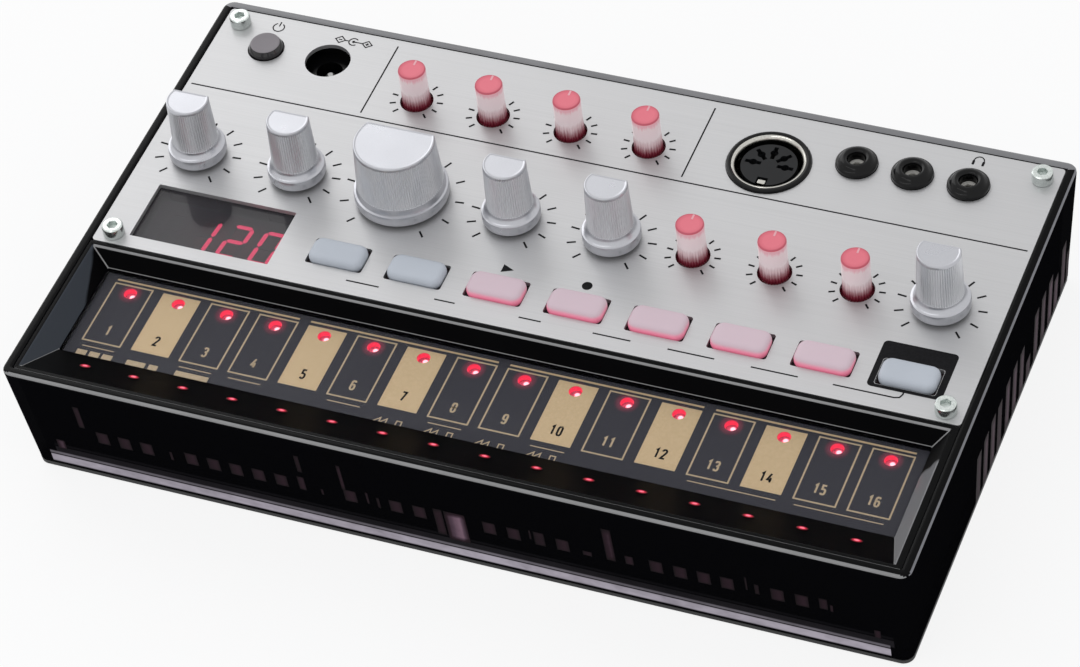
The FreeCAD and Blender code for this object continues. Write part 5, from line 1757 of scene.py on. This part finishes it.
@dataclass
class TouchKeyboard:
    """Printed film with sixteen pierced keys, a red light below each hole, under a clear plate."""

    finishes: Finishes
    key_count: int = 16
    key_width: float = 8.5
    key_rows: Pair = (-40.05, -23.6)
    light_y: float = -25.65
    hole: float = 1.4
    filled: tuple[int, ...] = (2, 5, 7, 10, 12, 14)
    print_height: float = 0.03
    print_sink: float = 0.005
    cup_depth: float = 1.1
    bar_y: float = -22.6
    numeral_y: float = -36.5
    rule_y: float = -41.6
    block_y: float = -43.6
    wave_rows: Pair = (-44.3, -43.0)

    def __post_init__(self) -> None:
        """Read the film's place and work out the pitch of the keys."""
        low, high = extent("key_film")
        self.box = footprint("key_film")
        self.low, self.top = low[2], high[2]
        self.ink = (self.top - self.print_sink, self.top + self.print_height)
        lights = extent("key_leds")
        self.pitch = (lights[1][0] - lights[0][0] - 2.0) / (self.key_count - 1)

    def key_x(self, number: int) -> float:
        """Return the x of a key's middle, keys numbered from 1."""
        return (number - (self.key_count + 1) / 2) * self.pitch

    def film(self) -> Surface:
        """Film in sixteen cells, each pierced over its light.

        Returns:
            The cells side by side.
        """
        cells = []
        for number in range(1, self.key_count + 1):
            x = self.key_x(number)
            left = self.box[0] if number == 1 else x - self.pitch / 2
            right = self.box[1] if number == self.key_count else x + self.pitch / 2
            cells.append(pierced_plate((left, right, self.box[2], self.box[3]), (x, self.light_y), self.hole,
                self.low, self.top))
        return gathered(cells)

    def lights(self) -> Surface:
        """Lit cups below the holes, the core brightest.

        Returns:
            One cup for each key.
        """
        floor = self.low - self.cup_depth
        rows = [(0.01, floor, 0, 0, 0.85), (0.4, floor, 0, 0, 0.82), (0.75, floor, 0, 0, 0.72),
            (self.hole - 0.02, floor, 0, 0, 0.6), (self.hole - 0.01, self.top - 0.02, 0, 0, 0.44),
            (self.hole + 0.3, self.low - 0.01), (self.hole + 0.3, floor - 0.4), (0.01, floor - 0.4)]
        return gathered([lathe(rows, 32).moved(self.key_x(number),
            self.light_y) for number in range(1, self.key_count + 1)])

    def hot_spots(self) -> Surface:
        """Bright points of the lights, each a small dome a little off the middle of its cup.

        Returns:
            One dome for each key.
        """
        floor = self.low - self.cup_depth
        rows = [(0.01, floor - 0.1), (0.75, floor - 0.1), (0.7, floor + 0.1, 0, 0, 0.7),
                (0.45, floor + 0.25, 0, 0, 1.0), (0.01, floor + 0.3, 0, 0, 1.0)]
        dome = lathe(rows, 24)
        return gathered([dome.moved(self.key_x(number) + 0.25,
            self.light_y + 0.05) for number in range(1, self.key_count + 1)])

    def key_fields(self) -> Surface:
        """Solid gold fields of the filled keys, pierced over their lights, and the four group bars.

        Returns:
            The fields and bars.
        """
        low, high = self.ink
        fields = []
        for number in self.filled:
            x = self.key_x(number)
            box = (x - self.key_width / 2, x + self.key_width / 2, *self.key_rows)
            fields.append(pierced_plate(box, (x, self.light_y), self.hole, low, high))
        for first in (1, 5, 9, 13):
            ends = [(self.key_x(first) - self.key_width / 2, self.bar_y),
                    (self.key_x(first + 3) + self.key_width / 2, self.bar_y)]
            fields.append(ribbon(ends, 0.45, low, high))
        return gathered(fields)

    def key_lines(self) -> Surface:
        """Outlines of the plain keys, their numerals, the thin lines below and the small wave icons.

        Returns:
            The lines and the bars at the left.
        """
        low, high = self.ink
        lines = []
        for number in range(1, self.key_count + 1):
            if number in self.filled:
                continue
            x0, x1 = self.key_x(number) - self.key_width / 2, self.key_x(number) + self.key_width / 2
            y0, y1 = self.key_rows
            lines.append(ribbon([(x0, y0), (x1, y0), (x1, y1), (x0, y1)], 0.35, low, high, closed=True))
            lines.append(self.numeral(number))
        for first, last in ((1, 1), (3, 3), (4, 4), (6, 6), (8, 8), (10, 10), (13, 14), (15, 16)):
            ends = [(self.key_x(first) - 3.6, self.rule_y), (self.key_x(last) + 3.6, self.rule_y)]
            lines.append(ribbon(ends, 0.22, low, high))
        foot, peak = self.wave_rows
        for number in (7, 8, 9, 10):
            x = self.key_x(number)
            saw = [(x - 3.6, foot), (x - 2.2, peak), (x - 2.2, foot), (x - 0.8, peak), (x - 0.8, foot)]
            square = [(x + 0.4, foot), (x + 1.3, foot), (x + 1.3, peak), (x + 2.4, peak), (x + 2.4, foot),
                      (x + 3.5, foot)]
            lines += [ribbon(path, 0.25, low, high) for path in (saw, square)]
        bars = {1: ((-2.9, 2.25), (0.0, 2.25), (2.9, 2.25)), 2: ((-1.6, 4.2), (2.3, 2.0)), 3: ((0.0, 7.4),)}
        for number, blocks in bars.items():
            for offset, width in blocks:
                lines.append(ribbon([(self.key_x(number) + offset - width / 2, self.block_y),
                    (self.key_x(number) + offset + width / 2, self.block_y)], 1.7, low, high))
        return gathered(lines)

    def numeral(self, number: int) -> Surface:
        """Return a key's plain number, narrow and upright."""
        digits = numeral(str(number), (0.78, 1.13), 1.5, 0.42, *self.ink)
        return digits.moved(self.key_x(number), self.numeral_y)

    def build(self) -> None:
        """Make the film, the lights, both inks and the clear plate."""
        build_piece("printed_film", self.film(), [self.finishes.film], replaced=["key_film"])
        build_piece("key_light_cups", self.lights(), [self.finishes.key_light], replaced=["key_leds"],
            crease=60.0)
        build_piece("key_light_points", self.hot_spots(), [self.finishes.key_light],
            crease=60.0)
        build_piece("gold_fields", self.key_fields(), [self.finishes.gold])
        build_piece("gold_lines", self.key_lines(), [self.finishes.gold_line])
        dark = gathered([self.numeral(number).moved(z=0.03) for number in self.filled])
        build_piece("dark_numerals", dark, [self.finishes.ink])
        low, high = extent("touch_plate")
        plate = soft_block(footprint("touch_plate"), low[2] + 0.06, high[2], 0.4, 0.12)
        build_piece("clear_plate", plate, [self.finishes.plate], replaced=["touch_plate"])


@dataclass
class PanelScrews:
    """Four socket-head cap screws: rolled head edge, dished top and hexagonal recess."""

    finishes: Finishes
    head: float = 2.25
    thread: float = 1.25
    hexagon: float = 2.0
    recess: float = 1.3

    def screw(self) -> Surface:
        """Skin one screw from its tip to the floor of its recess.

        The recess rings are hexagons: r = (flats / 2) / cos(a mod 60 degrees - 30 degrees).

        Returns:
            The screw about the origin.
        """
        low, high = extent("panel_screws")
        panel, top, h = extent("control_panel")[1][2], high[2], self.head
        round_rows = [(0.01, low[2]), (self.thread - 0.3, low[2]), (self.thread, low[2] + 0.3),
            (self.thread, panel + 0.02), (h - 0.1, panel + 0.02), (h, panel + 0.12), (h, top - 0.5),
            (h - 0.08, top - 0.2), (h - 0.28, top - 0.03), (h - 0.5, top), (h - 0.85, top - 0.02)]
        angle = np.linspace(0, 2 * np.pi, 48, endpoint=False)
        reach = self.hexagon / 2 / np.cos((angle % (np.pi / 3)) - np.pi / 6)
        hexes = [np.column_stack([scale * reach * np.cos(angle), scale * reach * np.sin(angle),
            np.full(48, z)]) for scale, z in ((1.08, top - 0.02), (1.0, top - 0.12), (1.0, top - self.recess),
            (0.01, top - self.recess - 0.2))]
        return loft(np.concatenate([turned_rings(round_rows, 48), np.stack(hexes)]))

    def build(self) -> None:
        """Make the four screws in the corners of the panel, each turned a little differently."""
        panel = footprint("control_panel")
        places = [(x, y) for x in (panel[0] + 3.85, panel[1] - 3.85)
                  for y in (panel[2] + 2.95, panel[3] - 4.05)]
        screws = [self.screw().turned(0.4 + 0.7 * number).moved(x, y) for number, (x, y) in enumerate(places)]
        build_piece("cap_screws", gathered(screws), [self.finishes.screw], replaced=["panel_screws"])


@dataclass
class Studio:
    """Plain pale floor, soft light, white surroundings and the camera."""

    place: tuple[float, float, float] = (0.27090, -0.53291, 0.64495)
    turn: tuple[float, float, float] = (43.0244, 5.7068, 21.0937)
    lens: float = 140.2695
    ambient: float = 0.85
    floor_reach: float = 3.0
    floor_height: float = -0.0001
    floor_white: float = 0.85

    def camera(self) -> None:
        """Set the camera where the photograph was taken from."""
        data = bpy.data.cameras.new("camera")
        data.lens, data.sensor_width, data.sensor_fit = self.lens, 36.0, "HORIZONTAL"
        data.clip_start, data.clip_end = 0.01, 20.0
        camera = bpy.data.objects.new("camera", data)
        camera.location = self.place
        camera.rotation_euler = Euler([math.radians(angle) for angle in self.turn], "XYZ")
        bpy.context.scene.collection.objects.link(camera)
        bpy.context.scene.camera = camera

    def lamp(self, name: str, place: tuple[float, float, float], size: Pair,
             power: float) -> None:
        """Add a soft area lamp that faces the object.

        Args:
            name: name of the lamp.
            place: where it hangs, in metres.
            size: width and height of its rectangle in metres.
            power: its power in watts.
        """
        data = bpy.data.lights.new(name, "AREA")
        data.shape, data.energy = "RECTANGLE", power
        data.size, data.size_y = size
        lamp = bpy.data.objects.new(name, data)
        lamp.location = place
        lamp.rotation_euler = (-Vector(place)).to_track_quat("-Z", "Y").to_euler()
        bpy.context.scene.collection.objects.link(lamp)

    def seen_directly(self, tree: NodeTree) -> Node:
        """Tell rays that show the surroundings from rays that light the object.

        Args:
            tree: the node tree.

        Returns:
            A node that is 1 for camera, glossy and transmission rays, and 0 for the rest.
        """
        path = add_node(tree, "LightPath")
        first = add_node(tree, "Math", links={0: (path, "Is Camera Ray"), 1: (path, "Is Glossy Ray")},
            operation="ADD")
        return add_node(tree, "Math", links={0: (first, "Value"), 1: (path, "Is Transmission Ray")},
            operation="ADD", use_clamp=True)

    def world(self) -> None:
        """White to the eye and in reflections, a softer grey as light."""
        world = bpy.data.worlds.new("studio")
        world.use_nodes = True
        tree = world.node_tree
        tree.nodes.clear()
        grey = add_node(tree, "Background", {"Color": linear("#F4F5F8"), "Strength": self.ambient})
        white = add_node(tree, "Background", {"Color": (1.0, 1.0, 1.0, 1.0), "Strength": 1.0})
        mix = add_node(tree, "MixShader", links={
            0: (self.seen_directly(tree), "Value"), 1: (grey, "Background"), 2: (white, "Background")})
        add_node(tree, "OutputWorld", links={"Surface": (mix, "Shader")})
        bpy.context.scene.world = world

    def floor(self) -> None:
        """Lay a white floor that keeps the object's soft shadow."""
        mesh = bpy.data.meshes.new("floor")
        reach, height = self.floor_reach, self.floor_height
        mesh.from_pydata([(-reach, -reach, height), (reach, -reach, height), (reach, reach, height),
            (-reach, reach, height)], [], [(0, 1, 2, 3)])
        material = bpy.data.materials.new("white_paper_sweep")
        material.use_nodes = True
        tree = material.node_tree
        tree.nodes.clear()
        paper = add_node(tree, "BsdfDiffuse", {"Color": linear("#F2F2F2")})
        light = add_node(tree, "Emission", {"Color": (1.0, 1.0, 1.0, 1.0), "Strength": 1.0})
        share = add_node(tree, "Math", {1: self.floor_white}, {0: (self.seen_directly(tree), "Value")},
            operation="MULTIPLY")
        mix = add_node(tree, "MixShader", links={
            0: (share, "Value"), 1: (paper, "BSDF"), 2: (light, "Emission")})
        add_node(tree, "OutputMaterial", links={"Surface": (mix, "Shader")})
        mesh.materials.append(material)
        floor = bpy.data.objects.new("floor", mesh)
        bpy.context.scene.collection.objects.link(floor)

    def build(self) -> None:
        """Set up the camera, lamps, world and floor."""
        self.camera()
        self.lamp("window_light", (-0.95, 0.72, 0.68), (1.0, 1.0), 4.2)
        self.lamp("front_strip", (-0.28, -0.5, 0.82), (0.9, 0.1), 0.9)
        self.world()
        self.floor()
        bpy.context.scene.view_settings.view_transform = "Standard"


def main() -> None:
    """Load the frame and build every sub-assembly on it."""
    logging.basicConfig(level=logging.INFO, format="%(message)s")
    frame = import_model()
    Studio().build()
    finishes = Finishes()
    for part in (SmokeCase, WallLights, RampLights, PanelPrint, SilverKnobs, GlowKnobs, RubberButtons,
                 PowerButton, Sockets, Display, TouchKeyboard, PanelScrews):
        part(finishes).build()
    dress(frame, ["control_panel"], finishes.panel)
    dress(frame, ["bottom_case", "battery_cover"], finishes.base)
    dress(frame, [name + "_shaft" for name in (*SilverKnobs.small, "cutoff")] + ["dc_pin"], finishes.shaft)
    dress(frame, ["case_screws"], finishes.screw)
    dress(frame, ["dc_socket"], finishes.socket)
    dress(frame, ["din_insulator"], finishes.insulator)
    dress(frame, ["din_contacts", "battery_contacts"], finishes.nickel)
    dress(frame, ["display_window"], finishes.window)
    dress(frame, ["main_board", "key_board"], finishes.board)
    dress(frame, ["rotary_pots", "tact_switches", "power_switch"], finishes.switch)
    dress(frame, ["speaker_basket", "speaker_magnet"], finishes.basket)
    dress(frame, ["speaker_cone"], finishes.cone)
    dress(frame, ["battery_cells"], finishes.cells)
    dress(frame, ["knob_leds"], finishes.glow_well)
    dress(frame, ["feet"], finishes.feet)


if __name__ == "__main__":
    main()
